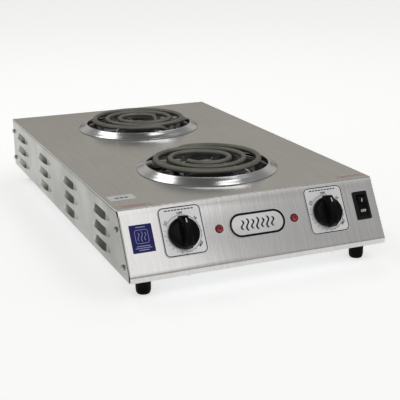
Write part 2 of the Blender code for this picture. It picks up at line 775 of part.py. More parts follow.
def make_rocker_switch():
    """The mains switch: a housing snapped into the panel, and the rocker in it, pressed at its lower end."""
    frame = empty("switch_place", panel_frame(SWITCH_X, SWITCH_DROP))
    rim = put(box("switch_housing", (*SWITCH_BODY, 0.0240), (0, 0, -0.0110)), black_plastic, frame)
    bezel = box("switch_bezel", (*SWITCH_SIZE, 0.0018), (0, 0, GAP + 0.0009))
    join(rim, helper(bezel, parent=frame))
    well = box("switch_well", (ROCKER_SIZE[0] + 0.0008, ROCKER_SIZE[1] + 0.0020, 0.0140), (0, 0, -0.0030))
    cut(rim, helper(well, parent=frame))
    half, ridge = ROCKER_SIZE[1] / 2, 0.0042
    section = [(-half, 0.0070), (-half * 0.55, 0.0056), (0, ridge), (half * 0.55, 0.0056), (half, 0.0070)]
    section += arc(0, 0, 0.0052, radians(10), radians(-190), 8)
    rocker = as_mesh(flat_shape("rocker", [section], ROCKER_SIZE[0], -ROCKER_SIZE[0] / 2))
    put(rocker, black_plastic, frame)
    across = Matrix(((0, 0, 1, 0), (1, 0, 0, 0), (0, 1, 0, 0), (0, 0, 0, 1)))
    tilt = Matrix.Rotation(ROCKER_TILT, 4, "X")
    rocker.matrix_local = Matrix.Translation((0, 0, ROCKER_PIVOT)) @ tilt @ across


def make_badge():
    """A plain badge plate in the middle of the front."""
    frame = empty("badge_place", panel_frame(0, BADGE_DROP))
    outline = rounded_rectangle(*BADGE_SIZE, BADGE_SIZE[1] / 2 - 0.0001, 8)
    put(as_mesh(flat_shape("badge", [outline], 0.0008, GAP)), plate_silver, frame)


def make_cord_gland():
    """The plastic bush that the supply cord enters by, with a flange outside the rear panel."""
    r, bore = GLAND_R, 0.0048
    outside, inside = GLAND_OUT, -0.0075
    profile = [(r + 0.003, outside), (r + 0.003, GAP), (r - GAP, GAP), (r - GAP, inside), (bore, inside), (bore, outside)]
    gland = put(turned("cord_gland", profile, 18), nylon)
    gland.matrix_world = Matrix.Translation((GLAND_X, REAR_Y, GLAND_Z)) @ Matrix.Rotation(-pi / 2, 4, "X")


def make_wiring():
    """The supply terminal block and the four wire bundles inside the housing."""
    floor = BASE_Z + SHEET + GAP
    block = put(box("terminal_block", (0.046, 0.020, 0.016), (0.095, 0.262, floor + 0.008)), nylon)
    for x in (-0.014, 0.0, 0.014):
        well = cylinder(f"terminal_well_{x:.3f}", 0.0035, floor + 0.010, floor + 0.020, 10, at=(0.095 + x, 0.262))
        cut(block, helper(well))
    front_socket = BURNERS["front"][0] + PIVOT_R + 0.0218 + SHEET + 3 * GAP
    rear_socket = BURNERS["rear"][0] - PIVOT_R - 0.0218 - SHEET - 3 * GAP
    socket_z = DECK_Z - LEAD_DROP
    behind = panel_frame(SWITCH_X, SWITCH_DROP) @ Vector((0, -0.006, -0.0233))
    right = panel_frame(KNOB_X, KNOB_DROP) @ Vector((0.010, -0.004, -0.0293))
    left = panel_frame(-KNOB_X, KNOB_DROP) @ Vector((-0.010, -0.004, -0.0293))
    inner = panel_frame(-KNOB_X, KNOB_DROP) @ Vector((0.0194, 0.0, -0.018))
    outer = panel_frame(KNOB_X, KNOB_DROP) @ Vector((-0.0194, 0.0, -0.018))
    inwards = Vector((0, sin(SLOPE_ANGLE), -cos(SLOPE_ANGLE)))
    runs = {
        "supply_wires": [
            (0.1184, 0.262, floor + 0.008), (0.130, 0.262, floor + 0.008), (0.150, 0.225, 0.033), (0.150, 0.0, 0.032),
            (0.152, -0.180, 0.033), (0.155, -0.235, 0.036), behind + inwards * 0.012, behind,
        ],
        "right_regulator_wires": [
            right, right + inwards * 0.012, (0.118, -0.200, 0.036), (0.110, -0.100, 0.036),
            (0.060, -0.030, 0.044), (-0.023, 0.015, 0.058), (-0.040, front_socket + 0.030, 0.078),
            (-0.040, front_socket + 0.010, socket_z - 0.002), (-0.040, front_socket, socket_z - 0.002),
        ],
        "left_regulator_wires": [
            left, left + inwards * 0.012, (-0.118, -0.200, 0.036), (-0.110, -0.080, 0.034),
            (-0.060, -0.010, 0.033), (0.000, 0.000, 0.036), (0.040, rear_socket - 0.026, 0.070),
            (0.040, rear_socket - 0.010, socket_z - 0.002), (0.040, rear_socket, socket_z - 0.002),
        ],
        "panel_link_wires": [
            inner, inner + Vector((0.006, 0, -0.0005)), (-0.065, -0.260, 0.047), (-0.030, -0.252, 0.042),
            (0.030, -0.252, 0.042), (0.065, -0.260, 0.047), outer + Vector((-0.006, 0, -0.0005)), outer,
        ],
    }
    for name, points in runs.items():
        put(tube(name, smooth_route(points, 0.026), 0.0022, 1), wire_glass)


clear_scene()
parts = new_collection("hot_plate")
cutters = new_collection("hot_plate_cutters")
brushed_steel = new_material("brushed_steel", (0.60, 0.59, 0.57), 0.34, 1.0)
galvanised = new_material("galvanised", (0.52, 0.53, 0.54), 0.48, 1.0)
chrome = new_material("chrome", (0.80, 0.80, 0.81), 0.10, 1.0)
zinc = new_material("zinc", (0.55, 0.54, 0.52), 0.35, 1.0)
support_steel = new_material("support_steel", (0.62, 0.62, 0.62), 0.28, 1.0)
sheath = new_material("element_sheath", (0.16, 0.165, 0.15), 0.52, 0.6)
ceramic = new_material("ceramic", (0.74, 0.70, 0.62), 0.62, 0.0)
bakelite = new_material("bakelite", (0.06, 0.045, 0.04), 0.45, 0.0)
black_plastic = new_material("black_plastic", (0.012, 0.012, 0.013), 0.25, 0.0)
plate_silver = new_material("plate_silver", (0.78, 0.78, 0.78), 0.40, 0.3)
red_lens = new_material("red_lens", (0.55, 0.03, 0.05), 0.15, 0.0)
nylon = new_material("nylon", (0.05, 0.05, 0.05), 0.5, 0.0)
rubber = new_material("rubber", (0.015, 0.015, 0.015), 0.75, 0.0)
wire_glass = new_material("wire_sleeve", (0.62, 0.58, 0.48), 0.8, 0.0)

make_top_deck()
side_panels = {
    "left": make_side_panel("left_side_panel", -1),
    "right": make_side_panel("right_side_panel", 1),
}
make_rear_panel()
make_side_screws(side_panels)
make_base_plate()
make_base_screws()
for end, foot_y in (("front", -FOOT_Y), ("rear", FOOT_Y)):
    for hand, foot_x in (("left", -FOOT_X), ("right", FOOT_X)):
        make_foot(f"{end}_{hand}", foot_x, foot_y)
for burner, (burner_y, burner_turn) in BURNERS.items():
    make_burner(burner, burner_y, burner_turn)
for hand, sign in (("left", -1), ("right", 1)):
    knob_place = empty(f"{hand}_control", panel_frame(sign * KNOB_X, KNOB_DROP))
    make_knob(hand, knob_place)
    make_regulator(hand, knob_place)
    make_dial_plate(hand, sign)
    make_lamp(hand, sign)
make_rocker_switch()
make_badge()
make_cord_gland()
make_wiring()
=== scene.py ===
import json
from math import atan2, cos, pi, radians, sin

import bmesh
import bpy
from mathutils import Matrix, Vector


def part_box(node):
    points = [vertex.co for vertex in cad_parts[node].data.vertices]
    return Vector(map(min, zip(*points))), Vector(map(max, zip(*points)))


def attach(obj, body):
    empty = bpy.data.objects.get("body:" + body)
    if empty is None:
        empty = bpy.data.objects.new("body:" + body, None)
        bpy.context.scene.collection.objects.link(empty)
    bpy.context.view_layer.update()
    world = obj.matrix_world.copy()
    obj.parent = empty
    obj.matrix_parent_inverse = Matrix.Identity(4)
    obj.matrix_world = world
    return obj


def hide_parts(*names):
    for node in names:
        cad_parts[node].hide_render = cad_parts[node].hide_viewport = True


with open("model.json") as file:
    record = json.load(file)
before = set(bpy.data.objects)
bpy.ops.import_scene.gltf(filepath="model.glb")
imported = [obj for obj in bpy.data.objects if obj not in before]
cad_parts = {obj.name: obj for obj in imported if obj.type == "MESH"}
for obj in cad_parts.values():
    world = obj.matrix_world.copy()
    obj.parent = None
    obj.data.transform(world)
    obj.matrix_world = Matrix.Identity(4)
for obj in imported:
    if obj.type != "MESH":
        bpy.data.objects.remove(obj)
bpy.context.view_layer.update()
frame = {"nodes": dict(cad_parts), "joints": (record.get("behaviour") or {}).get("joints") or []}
print("frame loaded")

# places read from the frame

deckLow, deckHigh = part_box("top_deck")
housing = {
    "sheet": 0.001,
    "foldBevel": 0.001364,
    "sideBevel": 0.00176,
    "setback": 0.0413,      # how far the top fold stands behind the front
    "lip": 0.0072,          # height of the upright lip
    "tuck": 0.0014,         # the front is this much narrower than the deck on each side
    "flange": 0.014,
    "screwFlange": 0.024,
    "flangeEnds": (0.007, 0.004),   # its gaps to the top fold and to the lip
    "narrowing": 0.004,     # the length over which the deck narrows to the front
    "returnInset": 0.018,   # the return under the lip is this much narrower on each side
    "edgeBack": 0.003,      # the side panels end this much before the deck does
}
halfWidth = deckHigh.x
frontY, rearY = deckLow.y, deckHigh.y
deckZ, floorOfBody = deckHigh.z, deckLow.z
lipZ = floorOfBody + housing["lip"]
foldY = frontY + housing["setback"]
innerHalf = halfWidth - housing["tuck"]
slopeAngle = atan2(deckZ - lipZ, housing["setback"])
joints = {joint["name"]: joint for joint in frame["joints"]}
leadDrop = 0.0135
pivotReach = 0.094
burners = {
    "front": (Vector((0, joints["front_coil_lift"]["pos_m"][1] - pivotReach, deckZ)), pi),
    "rear": (Vector((0, joints["rear_coil_lift"]["pos_m"][1] + pivotReach, deckZ)), 0.0),
}


# on the sloping front: across from the middle, and down the slope from its top
spots = {
    "knob": (0.1001, 0.0387),
    "dial": (0.1001, 0.035),
    "lamp": (0.0523, 0.0394),
    "switch": (0.1537, 0.0362),
    "badge": (0, 0.0394),
    "rating": (-0.1526, 0.0373),
}
knobRise = spots["dial"][1] - spots["knob"][1]  # from the middle of the dial plate up to the knob
sides = (("left", -1), ("right", 1))
near = 1e-5             # two places less than this apart count as one
inkDepth, fineInk = 0.00006, 0.00005


def panelPlace(name, side=1):
    # the frame of a control: its +Z out of the sloping front, its +Y up the slope
    across, drop = spots[name]
    at = Vector((side * across, foldY - cos(slopeAngle) * drop, deckZ - sin(slopeAngle) * drop))
    return Matrix.Translation(at) @ turned(slopeAngle, "X")


def middleOf(node):
    low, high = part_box(node)
    return (low + high) / 2


def slopeY(z):
    # how far forward the slope is at a height
    return frontY + housing["setback"] * (z - lipZ) / (deckZ - lipZ)


# working helpers

def deselectAll():
    if bpy.context.object and bpy.context.object.mode != "OBJECT":
        bpy.ops.object.mode_set(mode="OBJECT")
    bpy.ops.object.select_all(action="DESELECT")


def linked(piece):
    bpy.context.scene.collection.objects.link(piece)
    return piece


def discard(*pieces):
    for piece in pieces:
        bpy.data.objects.remove(piece, do_unlink=True)


def takeUp(piece):
    deselectAll()
    piece.select_set(True)
    bpy.context.view_layer.objects.active = piece
    return piece


def editing(piece):
    takeUp(piece)
    bpy.ops.object.mode_set(mode="EDIT")
    bpy.ops.mesh.select_mode(type="VERT")


def leaveEdit():
    bpy.ops.object.mode_set(mode="OBJECT")


def selectAll():
    bpy.ops.mesh.select_all(action="SELECT")


def score(at, normal, clear=False):
    # cuts every face along a plane, and drops what lies beyond it if clear is set
    selectAll()
    bpy.ops.mesh.bisect(plane_co=at, plane_no=normal, clear_outer=clear)


def scoreAlong(axis, places):
    # cuts straight across an axis (0, 1 or 2) at each of these places
    normal = [0, 0, 0]
    normal[axis] = 1
    for place in places:
        score([step * place for step in normal], normal)


def levels(height, count):
    # the ends and the steps of a height about 0, cut in equal slices
    return [-height / 2 + height * k / count for k in range(count + 1)]


def moved(x=0.0, y=0.0, z=0.0):
    return Matrix.Translation((x, y, z))


def turned(angle, axis):
    return Matrix.Rotation(angle, 4, axis)


def pick(kind, test):
    # selects the vertices, edges or faces whose middle passes the test
    bpy.ops.mesh.select_mode(type=kind)
    bpy.ops.mesh.select_all(action="DESELECT")
    mesh = bpy.context.object.data
    work = bmesh.from_edit_mesh(mesh)
    for part in {"VERT": work.verts, "EDGE": work.edges, "FACE": work.faces}[kind]:
        corners = [part] if kind == "VERT" else part.verts
        middle = sum((corner.co for corner in corners), Vector()) / len(corners)
        if test(middle, part):
            part.select_set(True)
    work.select_flush_mode()
    bmesh.update_edit_mesh(mesh)


def shift(x=0.0, y=0.0, z=0.0):
    bpy.ops.transform.translate(value=(x, y, z))


def resize(x, y, z, height=0.0):
    # about a point on the Z axis
    bpy.ops.transform.resize(value=(x, y, z), center_override=(0, 0, height))


def extrudeBy(x=0.0, y=0.0, z=0.0):
    bpy.ops.mesh.extrude_region_move(TRANSFORM_OT_translate={"value": (x, y, z)})


def mergeClose(gap=0.000002):
    selectAll()
    bpy.ops.mesh.remove_doubles(threshold=gap)


def faceOut():
    selectAll()
    bpy.ops.mesh.normals_make_consistent(inside=False)


def tidyMesh(gap=0.000002):
    mergeClose(gap)
    bpy.ops.mesh.normals_make_consistent(inside=False)


def faceTowards(sheet, way):
    # turns an open sheet over if its widest face looks the wrong way
    widest = max(sheet.data.polygons, key=lambda face: face.area * abs(face.normal.dot(way)))
    if widest.normal.dot(way) < 0:
        editing(sheet)
        selectAll()
        bpy.ops.mesh.flip_normals()
        leaveEdit()


def modify(piece, kind, **settings):
    change = piece.modifiers.new(kind.lower(), kind)
    for label, value in settings.items():
        setattr(change, label, value)
    takeUp(piece)
    bpy.ops.object.modifier_apply(modifier=change.name)


def thicken(sheet, thickness):
    modify(sheet, "SOLIDIFY", thickness=thickness, offset=-1.0, use_even_offset=True)


def soften(piece, width, segments=3):
    modify(piece, "BEVEL", width=width, segments=segments, limit_method="ANGLE", angle_limit=radians(30))


def cutWith(piece, cutter, operation="DIFFERENCE"):
    modify(piece, "BOOLEAN", object=cutter, operation=operation, solver="EXACT")
    discard(cutter)


def roundShading(piece, angle=35):
    takeUp(piece)
    bpy.ops.object.shade_smooth_by_angle(angle=radians(angle))


def settle(piece, place=None):
    # puts a piece in its place and bakes that place into its mesh
    takeUp(piece)
    if place is not None:
        piece.matrix_world = place
    bpy.ops.object.transform_apply()
    return piece


def finishPiece(piece, name, look, body="housing", stands=(), angle=35):
    piece.name = piece.data.name = name
    piece.data.materials.clear()
    piece.data.materials.append(finish[look])
    if angle:
        roundShading(piece, angle)
    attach(piece, body)
    if stands:
        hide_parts(*stands)
    deselectAll()
    return piece


def twin(piece):
    made = piece.copy()
    made.data = piece.data.copy()
    return linked(made)


def sizeTo(*size):
    bpy.context.object.scale = size
    bpy.ops.object.transform_apply()
    return bpy.context.object


def addPlane(width, height, at=(0, 0, 0)):
    deselectAll()
    bpy.ops.mesh.primitive_plane_add(size=1, location=at)
    return sizeTo(width, height, 1)


def addBlock(width, height, depth, at=(0, 0, 0)):
    deselectAll()
    bpy.ops.mesh.primitive_cube_add(size=1, location=at)
    return sizeTo(width, height, depth)


def addRod(radius, low, high, sides=64, at=(0, 0)):
    deselectAll()
    bpy.ops.mesh.primitive_cylinder_add(
        vertices=sides, radius=radius, depth=high - low, location=(at[0], at[1], (low + high) / 2)
    )
    bpy.ops.object.transform_apply()
    return bpy.context.object


def startPoint(x, y, z):
    # a new piece of one point, in edit mode, to draw a line from
    deselectAll()
    bpy.ops.mesh.primitive_plane_add(size=0.001)
    piece = bpy.context.object
    editing(piece)
    selectAll()
    bpy.ops.mesh.merge(type="CENTER")
    shift(x, y, z)
    return piece


def drawTo(x, y, z):
    bpy.ops.mesh.extrude_vertices_move(TRANSFORM_OT_translate={"value": (x, y, z)})


def spinAll(steps, angle):
    selectAll()
    bpy.ops.mesh.spin(steps=steps, angle=angle, center=(0, 0, 0), axis=(0, 0, 1))


def spun(profile, steps, closed=False):
    # a piece turned about Z from (radius, height) points, extruded one by one and spun
    piece = startPoint(profile[0][0], 0, profile[0][1])
    line = [*profile, profile[0]] if closed else profile
    for before, after in zip(line, line[1:]):
        drawTo(after[0] - before[0], 0, after[1] - before[1])
    spinAll(steps, 2 * pi)
    tidyMesh()
    leaveEdit()
    return piece


def roundedPlate(width, height, radius, thickness, low=0.0, border=None, steps=8):
    # a flat plate with rounded corners, or only its border if a border width is given
    piece = addPlane(width, height, at=(0, 0, low))
    editing(piece)
    selectAll()
    bpy.ops.mesh.bevel(offset=radius, segments=steps, affect="VERTICES")
    if border:
        selectAll()
        bpy.ops.mesh.inset(thickness=border)
        bpy.ops.mesh.delete(type="FACE")
    selectAll()
    extrudeBy(z=thickness)
    tidyMesh()
    leaveEdit()
    return piece


def printBar(width, height, thickness, at):
    # a short printed bar with rounded ends
    bar = roundedPlate(width, height, min(width, height) * 0.3, thickness, steps=2)
    return settle(bar, Matrix.Translation(at))


def arcRibbon(inner, outer, start, sweep, thickness, low=0.0, steps=48):
    # a flat printed arc, from a short edge spun about Z
    piece = startPoint(inner * cos(start), inner * sin(start), low)
    drawTo((outer - inner) * cos(start), (outer - inner) * sin(start), 0)
    spinAll(steps, sweep)
    mergeClose()
    selectAll()
    extrudeBy(z=thickness)
    tidyMesh()
    leaveEdit()
    return piece


def lettering(words, size, at, turn=0.0, thickness=inkDepth):
    deselectAll()
    bpy.ops.object.text_add(location=at)
    text = bpy.context.object
    text.data.body = words
    text.data.size = size
    text.data.align_x = "CENTER"
    text.data.align_y = "CENTER"
    text.data.extrude = thickness / 2
    text.data.offset = 0.035 * size
    text.data.resolution_u = 3
    text.rotation_euler.z = turn
    bpy.ops.object.convert(target="MESH")
    piece = bpy.context.object
    editing(piece)
    tidyMesh()
    leaveEdit()
    bpy.ops.object.transform_apply()
    return piece


def easedCopy(node, width, segments=2):
    # a merged copy of a frame piece with its edges eased
    piece = linked(bpy.data.objects.new(node, frame["nodes"][node].data.copy()))
    editing(piece)
    mergeClose()
    selectAll()
    bpy.ops.mesh.dissolve_limited(angle_limit=radians(0.5))
    leaveEdit()
    soften(piece, width, segments)
    return piece


def joined(pieces):
    deselectAll()
    for piece in pieces:
        piece.select_set(True)
    bpy.context.view_layer.objects.active = pieces[0]
    bpy.ops.object.join()
    return bpy.context.object


# finishes

def newGroup(name, inputs, outputs):
    # inputs: label and starting value. outputs: label and kind
    group = bpy.data.node_groups.new(name, "ShaderNodeTree")
    for label, value in inputs.items():
        kind = {4: "Color", 3: "Vector"}[len(value)] if isinstance(value, tuple) else "Float"
        group.interface.new_socket(label, in_out="INPUT", socket_type="NodeSocket" + kind).default_value = value
    for label, kind in outputs.items():
        group.interface.new_socket(label, in_out="OUTPUT", socket_type="NodeSocket" + kind)
    return group, group.nodes.new("NodeGroupInput"), group.nodes.new("NodeGroupOutput")


def addNode(nodes, kind, operation=None, **sockets):
    # a socket is given by its name, with _ for a space, or as a0, a1 or a2 for its place in the row
    made = nodes.new("ShaderNode" + kind)
    if operation:
        made.operation = operation
    for label, value in sockets.items():
        key = int(label[1]) if label in ("a0", "a1", "a2") else label.replace("_", " ")
        made.inputs[key].default_value = value
    return made


def wire(links, *rows):
    for source, outlet, target, inlet in rows:
        links.new(source.outputs[outlet], target.inputs[inlet])


def makeGrain():
    # brushing, pits or pores: streaks by a stretch on each axis, in colour, roughness and bump
    group, given, out = newGroup(
        "surfaceGrain",
        {
            "Colour": (0.5, 0.5, 0.5, 1),
            "Stretch": (200, 200, 200),
            "Contrast": 0.2,
            "Roughness": 0.4,
            "Spread": 0.2,
            "Depth": 0.2,
        },
        {"Colour": "Color", "Roughness": "Float", "Normal": "Vector"},
    )
    nodes, links = group.nodes, group.links
    place = addNode(nodes, "TexCoord")
    stretch = addNode(nodes, "VectorMath", "MULTIPLY")
    noise = addNode(nodes, "TexNoise", Scale=1.0, Detail=4.0, Roughness=0.65)
    light = addNode(nodes, "MapRange", From_Min=0.25, From_Max=0.75)
    low = addNode(nodes, "Math", "SUBTRACT", a0=1.0)
    high = addNode(nodes, "Math", "ADD", a0=1.0)
    tone = addNode(nodes, "HueSaturation")
    rough = addNode(nodes, "Math", "MULTIPLY_ADD")
    centred = addNode(nodes, "Math", "SUBTRACT", a1=0.5)
    bump = addNode(nodes, "Bump", Distance=0.0002)
    wire(
        links,
        (place, "Object", stretch, 0),
        (given, "Stretch", stretch, 1),
        (stretch, "Vector", noise, "Vector"),
        (noise, "Fac", light, "Value"),
        (given, "Contrast", low, 1),
        (given, "Contrast", high, 1),
        (low, "Value", light, "To Min"),
        (high, "Value", light, "To Max"),
        (light, "Result", tone, "Value"),
        (given, "Colour", tone, "Color"),
        (noise, "Fac", centred, 0),
        (centred, "Value", rough, 0),
        (given, "Spread", rough, 1),
        (given, "Roughness", rough, 2),
        (noise, "Fac", bump, "Height"),
        (given, "Depth", bump, "Strength"),
        (tone, "Color", out, "Colour"),
        (rough, "Value", out, "Roughness"),
        (bump, "Normal", out, "Normal"),
    )
    return group


def makeBlotches():
    # broad cloudy patches of a second colour: handling marks, heat tint, dust
    group, given, out = newGroup(
        "broadPatches",
        {
            "Colour": (0.5, 0.5, 0.5, 1),
            "Patch Colour": (0.4, 0.4, 0.4, 1),
            "Size": 12.0,
            "Amount": 0.3,
            "Edge": 0.2,
        },
        {"Colour": "Color"},
    )
    nodes, links = group.nodes, group.links
    place = addNode(nodes, "TexCoord")
    noise = addNode(nodes, "TexNoise", Detail=5.0)
    low = addNode(nodes, "Math", "SUBTRACT", a0=0.5)
    high = addNode(nodes, "Math", "ADD", a0=0.5)
    mask = addNode(nodes, "MapRange")
    share = addNode(nodes, "Math", "MULTIPLY")
    mixer = addNode(nodes, "Mix")
    mixer.data_type = "RGBA"
    wire(
        links,
        (place, "Object", noise, "Vector"),
        (given, "Size", noise, "Scale"),
        (given, "Edge", low, 1),
        (given, "Edge", high, 1),
        (noise, "Fac", mask, "Value"),
        (low, "Value", mask, "From Min"),
        (high, "Value", mask, "From Max"),
        (mask, "Result", share, 0),
        (given, "Amount", share, 1),
        (share, "Value", mixer, "Factor"),
        (given, "Colour", mixer, "A"),
        (given, "Patch Colour", mixer, "B"),
        (mixer, "Result", out, "Colour"),
    )
    return group


surfaceGrain = makeGrain()
broadPatches = makeBlotches()


def newFinish(name, colour, patch, grain, metallic, specular=0.5):
    # patch: colour, size, amount, edge. grain: stretch, contrast, roughness, spread, depth
    finish = bpy.data.materials.new(name)
    finish.use_nodes = True
    nodes, links = finish.node_tree.nodes, finish.node_tree.links
    shader = nodes["Principled BSDF"]
    shader.inputs["Metallic"].default_value = metallic
    shader.inputs["Specular IOR Level"].default_value = specular
    patches = nodes.new("ShaderNodeGroup")
    patches.node_tree = broadPatches
    patches.inputs["Colour"].default_value = (*colour, 1)
    patches.inputs["Patch Colour"].default_value = (*patch[0], 1)
    for socket, value in zip(("Size", "Amount", "Edge"), patch[1:]):
        patches.inputs[socket].default_value = value
    texture = nodes.new("ShaderNodeGroup")
    texture.node_tree = surfaceGrain
    stretch = grain[0] if isinstance(grain[0], tuple) else (grain[0],) * 3
    texture.inputs["Stretch"].default_value = stretch
    for socket, value in zip(("Contrast", "Roughness", "Spread", "Depth"), grain[1:]):
        texture.inputs[socket].default_value = value
    wire(
        links,
        (patches, "Colour", texture, "Colour"),
        (texture, "Colour", shader, "Base Color"),
        (texture, "Roughness", shader, "Roughness"),
        (texture, "Normal", shader, "Normal"),
    )
    return finish


finishes = {
    # name: colour; patch colour, size, amount, edge; stretch, contrast, roughness, spread, depth; metallic, specular
    "deckSteel": ((0.685, 0.675, 0.66), ((0.565, 0.555, 0.545), 9, 0.35, 0.2),
        ((800, 16, 16), 0.1, 0.24, 0.03, 0.02), 1),
    "sideSteel": ((0.38, 0.385, 0.35), ((0.17, 0.175, 0.155), 13, 0.6, 0.11),
        ((20, 20, 900), 0.07, 0.17, 0.08, 0.05), 1),
    "plateSteel": ((0.5, 0.51, 0.52), ((0.4, 0.41, 0.43), 60, 0.8, 0.08), (400, 0.1, 0.45, 0.2, 0.1), 1),
    "ringChrome": ((0.83, 0.83, 0.84), ((0.7, 0.68, 0.64), 26, 0.25, 0.15), (500, 0.03, 0.19, 0.05, 0.03), 1),
    "bowlChrome": ((0.26, 0.26, 0.27), ((0.09, 0.08, 0.07), 38, 0.75, 0.12), (300, 0.2, 0.14, 0.16, 0.12), 1),
    "brightStrip": ((0.8, 0.8, 0.8), ((0.52, 0.5, 0.46), 60, 0.4, 0.15), (300, 0.1, 0.36, 0.14, 0.08), 1),
    "capSteel": ((0.4, 0.4, 0.41), ((0.13, 0.125, 0.12), 90, 0.5, 0.15), (500, 0.12, 0.36, 0.14, 0.1), 1),
    "elementSheath": ((0.215, 0.215, 0.186), ((0.27, 0.265, 0.225), 55, 0.8, 0.12),
        (1600, 0.26, 0.44, 0.2, 0.3), 0.75),
    "zincPlate": ((0.5, 0.49, 0.46), ((0.36, 0.35, 0.32), 150, 0.5, 0.15), (600, 0.1, 0.3, 0.15, 0.08), 1),
    "knobBlack": ((0.004, 0.004, 0.0045), ((0.009, 0.009, 0.01), 70, 0.5, 0.15),
        (900, 0.25, 0.16, 0.1, 0.03), 0, 0.07),
    "switchBlack": ((0.006, 0.006, 0.0065), ((0.012, 0.012, 0.013), 70, 0.5, 0.15),
        (1400, 0.25, 0.3, 0.12, 0.1), 0, 0.16),
    "dialSilver": ((0.93, 0.92, 0.93), ((0.87, 0.86, 0.87), 30, 0.5, 0.2),
        ((1500, 40, 40), 0.05, 0.42, 0.1, 0.04), 0.6),
    "badgeSilver": ((0.82, 0.815, 0.815), ((0.76, 0.755, 0.755), 30, 0.5, 0.2),
        ((1500, 40, 40), 0.04, 0.4, 0.08, 0.04), 0.45),
    "blackInk": ((0.005, 0.005, 0.0055), ((0.012, 0.012, 0.012), 200, 0.4, 0.15),
        (900, 0.2, 0.45, 0.12, 0.05), 0, 0.15),
    "greyInk": ((0.16, 0.16, 0.165), ((0.22, 0.22, 0.22), 200, 0.4, 0.15), (900, 0.2, 0.45, 0.12, 0.05), 0),
    "whiteInk": ((0.78, 0.78, 0.77), ((0.7, 0.7, 0.68), 200, 0.4, 0.15), (900, 0.06, 0.5, 0.12, 0.05), 0),
    "labelBlue": ((0.014, 0.013, 0.125), ((0.02, 0.019, 0.15), 60, 0.5, 0.2), (700, 0.12, 0.38, 0.12, 0.05), 0, 0.2),
    "labelInk": ((0.35, 0.38, 0.62), ((0.28, 0.3, 0.55), 90, 0.5, 0.2), (900, 0.1, 0.45, 0.1, 0.04), 0),
    "stickerWhite": ((0.92, 0.91, 0.9), ((0.74, 0.73, 0.71), 40, 0.5, 0.2), (900, 0.04, 0.5, 0.12, 0.04), 0),
    "stickerPink": ((0.62, 0.52, 0.49), ((0.6, 0.42, 0.39), 70, 0.6, 0.15), (900, 0.06, 0.45, 0.12, 0.04), 0),
    "pinkInk": ((0.55, 0.26, 0.24), ((0.6, 0.36, 0.33), 120, 0.6, 0.15), (900, 0.06, 0.5, 0.12, 0.04), 0),
    "lampRed": ((0.3, 0.006, 0.014), ((0.48, 0.03, 0.045), 260, 0.6, 0.1), (1300, 0.35, 0.12, 0.1, 0.2), 0, 0.6),
    "footRubber": ((0.003, 0.003, 0.0035), ((0.007, 0.007, 0.0065), 90, 0.5, 0.15),
        (1100, 0.25, 0.5, 0.2, 0.3), 0, 0.04),
    "baseSteel": ((0.46, 0.47, 0.48), ((0.56, 0.57, 0.58), 130, 0.9, 0.05), (350, 0.12, 0.46, 0.2, 0.1), 1),
    "socketCeramic": ((0.7, 0.66, 0.57), ((0.55, 0.5, 0.42), 60, 0.5, 0.15), (1200, 0.12, 0.62, 0.2, 0.35), 0),
    "controlBrown": ((0.055, 0.038, 0.032), ((0.09, 0.065, 0.05), 80, 0.5, 0.15), (900, 0.25, 0.42, 0.2, 0.15), 0),
    "nylonBlack": ((0.035, 0.035, 0.036), ((0.055, 0.055, 0.055), 120, 0.5, 0.15), (1300, 0.2, 0.45, 0.15, 0.15), 0),
    "glassSleeve": ((0.58, 0.54, 0.44), ((0.42, 0.38, 0.3), 90, 0.6, 0.15),
        ((900, 2600, 2600), 0.35, 0.8, 0.15, 0.8), 0),
}
finish = {name: newFinish(name, *facts) for name, facts in finishes.items()}
print("finishes made")

# housing

# radii of the round holes, width and height of the other
holes = {"burner": 0.087, "knob": 0.0051, "lamp": 0.004, "screw": 0.0023, "switch": (0.0194, 0.0338)}


def makeDeck():
    # the folded sheet: deck, slope, lip, return under it, and the screw flanges behind the slope's sides
    start = foldY + housing["narrowing"]
    deck = addPlane(2 * halfWidth, rearY - start, at=(0, (rearY + start) / 2, deckZ))
    editing(deck)

    def foldTo(y, z, half):
        extrudeBy(y=y - foldTo.at[0], z=z - foldTo.at[1])
        foldTo.at = (y, z)
        resize(half / foldTo.half, 1, 1)
        foldTo.half = half

    foldTo.at, foldTo.half = (start, deckZ), halfWidth
    pick("EDGE", lambda middle, edge: abs(middle.y - start) < near)
    flangeTop, flangeLow = deckZ - housing["flangeEnds"][0], lipZ + housing["flangeEnds"][1]
    foldTo(foldY, deckZ, innerHalf)
    foldTo(slopeY(flangeTop), flangeTop, innerHalf)
    foldTo(slopeY(flangeLow), flangeLow, innerHalf)
    foldTo(frontY, lipZ, innerHalf)
    foldTo(frontY, floorOfBody, innerHalf)
    foldTo(frontY + housing["flange"], floorOfBody, innerHalf - housing["returnInset"])

    def slopeSide(middle, edge):
        low, high = sorted(vert.co.z for vert in edge.verts)
        return abs(low - flangeLow) < near and abs(high - flangeTop) < near

    pick("EDGE", slopeSide)
    extrudeBy(y=housing["screwFlange"])

    def isFold(middle, edge):
        return len(edge.link_faces) == 2 and edge.calc_face_angle(0) > radians(20)

    faceOut()
    pick("EDGE", isFold)
    bpy.ops.mesh.bevel(offset=housing["foldBevel"], segments=5, affect="EDGES")
    leaveEdit()
    faceTowards(deck, Vector((0, 0, 1)))
    thicken(deck, housing["sheet"])
    for centre, _ in burners.values():
        cutWith(deck, addRod(holes["burner"], deckZ - 0.01, deckZ + 0.01, 160, at=(0, centre.y)))
    for control in ("knob", "lamp"):
        for _, side in sides:
            cutWith(deck, settle(addRod(holes[control], -0.01, 0.01, 48), panelPlace(control, side)))
    cutWith(deck, settle(addBlock(*holes["switch"], 0.02), panelPlace("switch")))
    finishPiece(deck, "deckSheet", "deckSteel", stands=["top_deck"], angle=20)


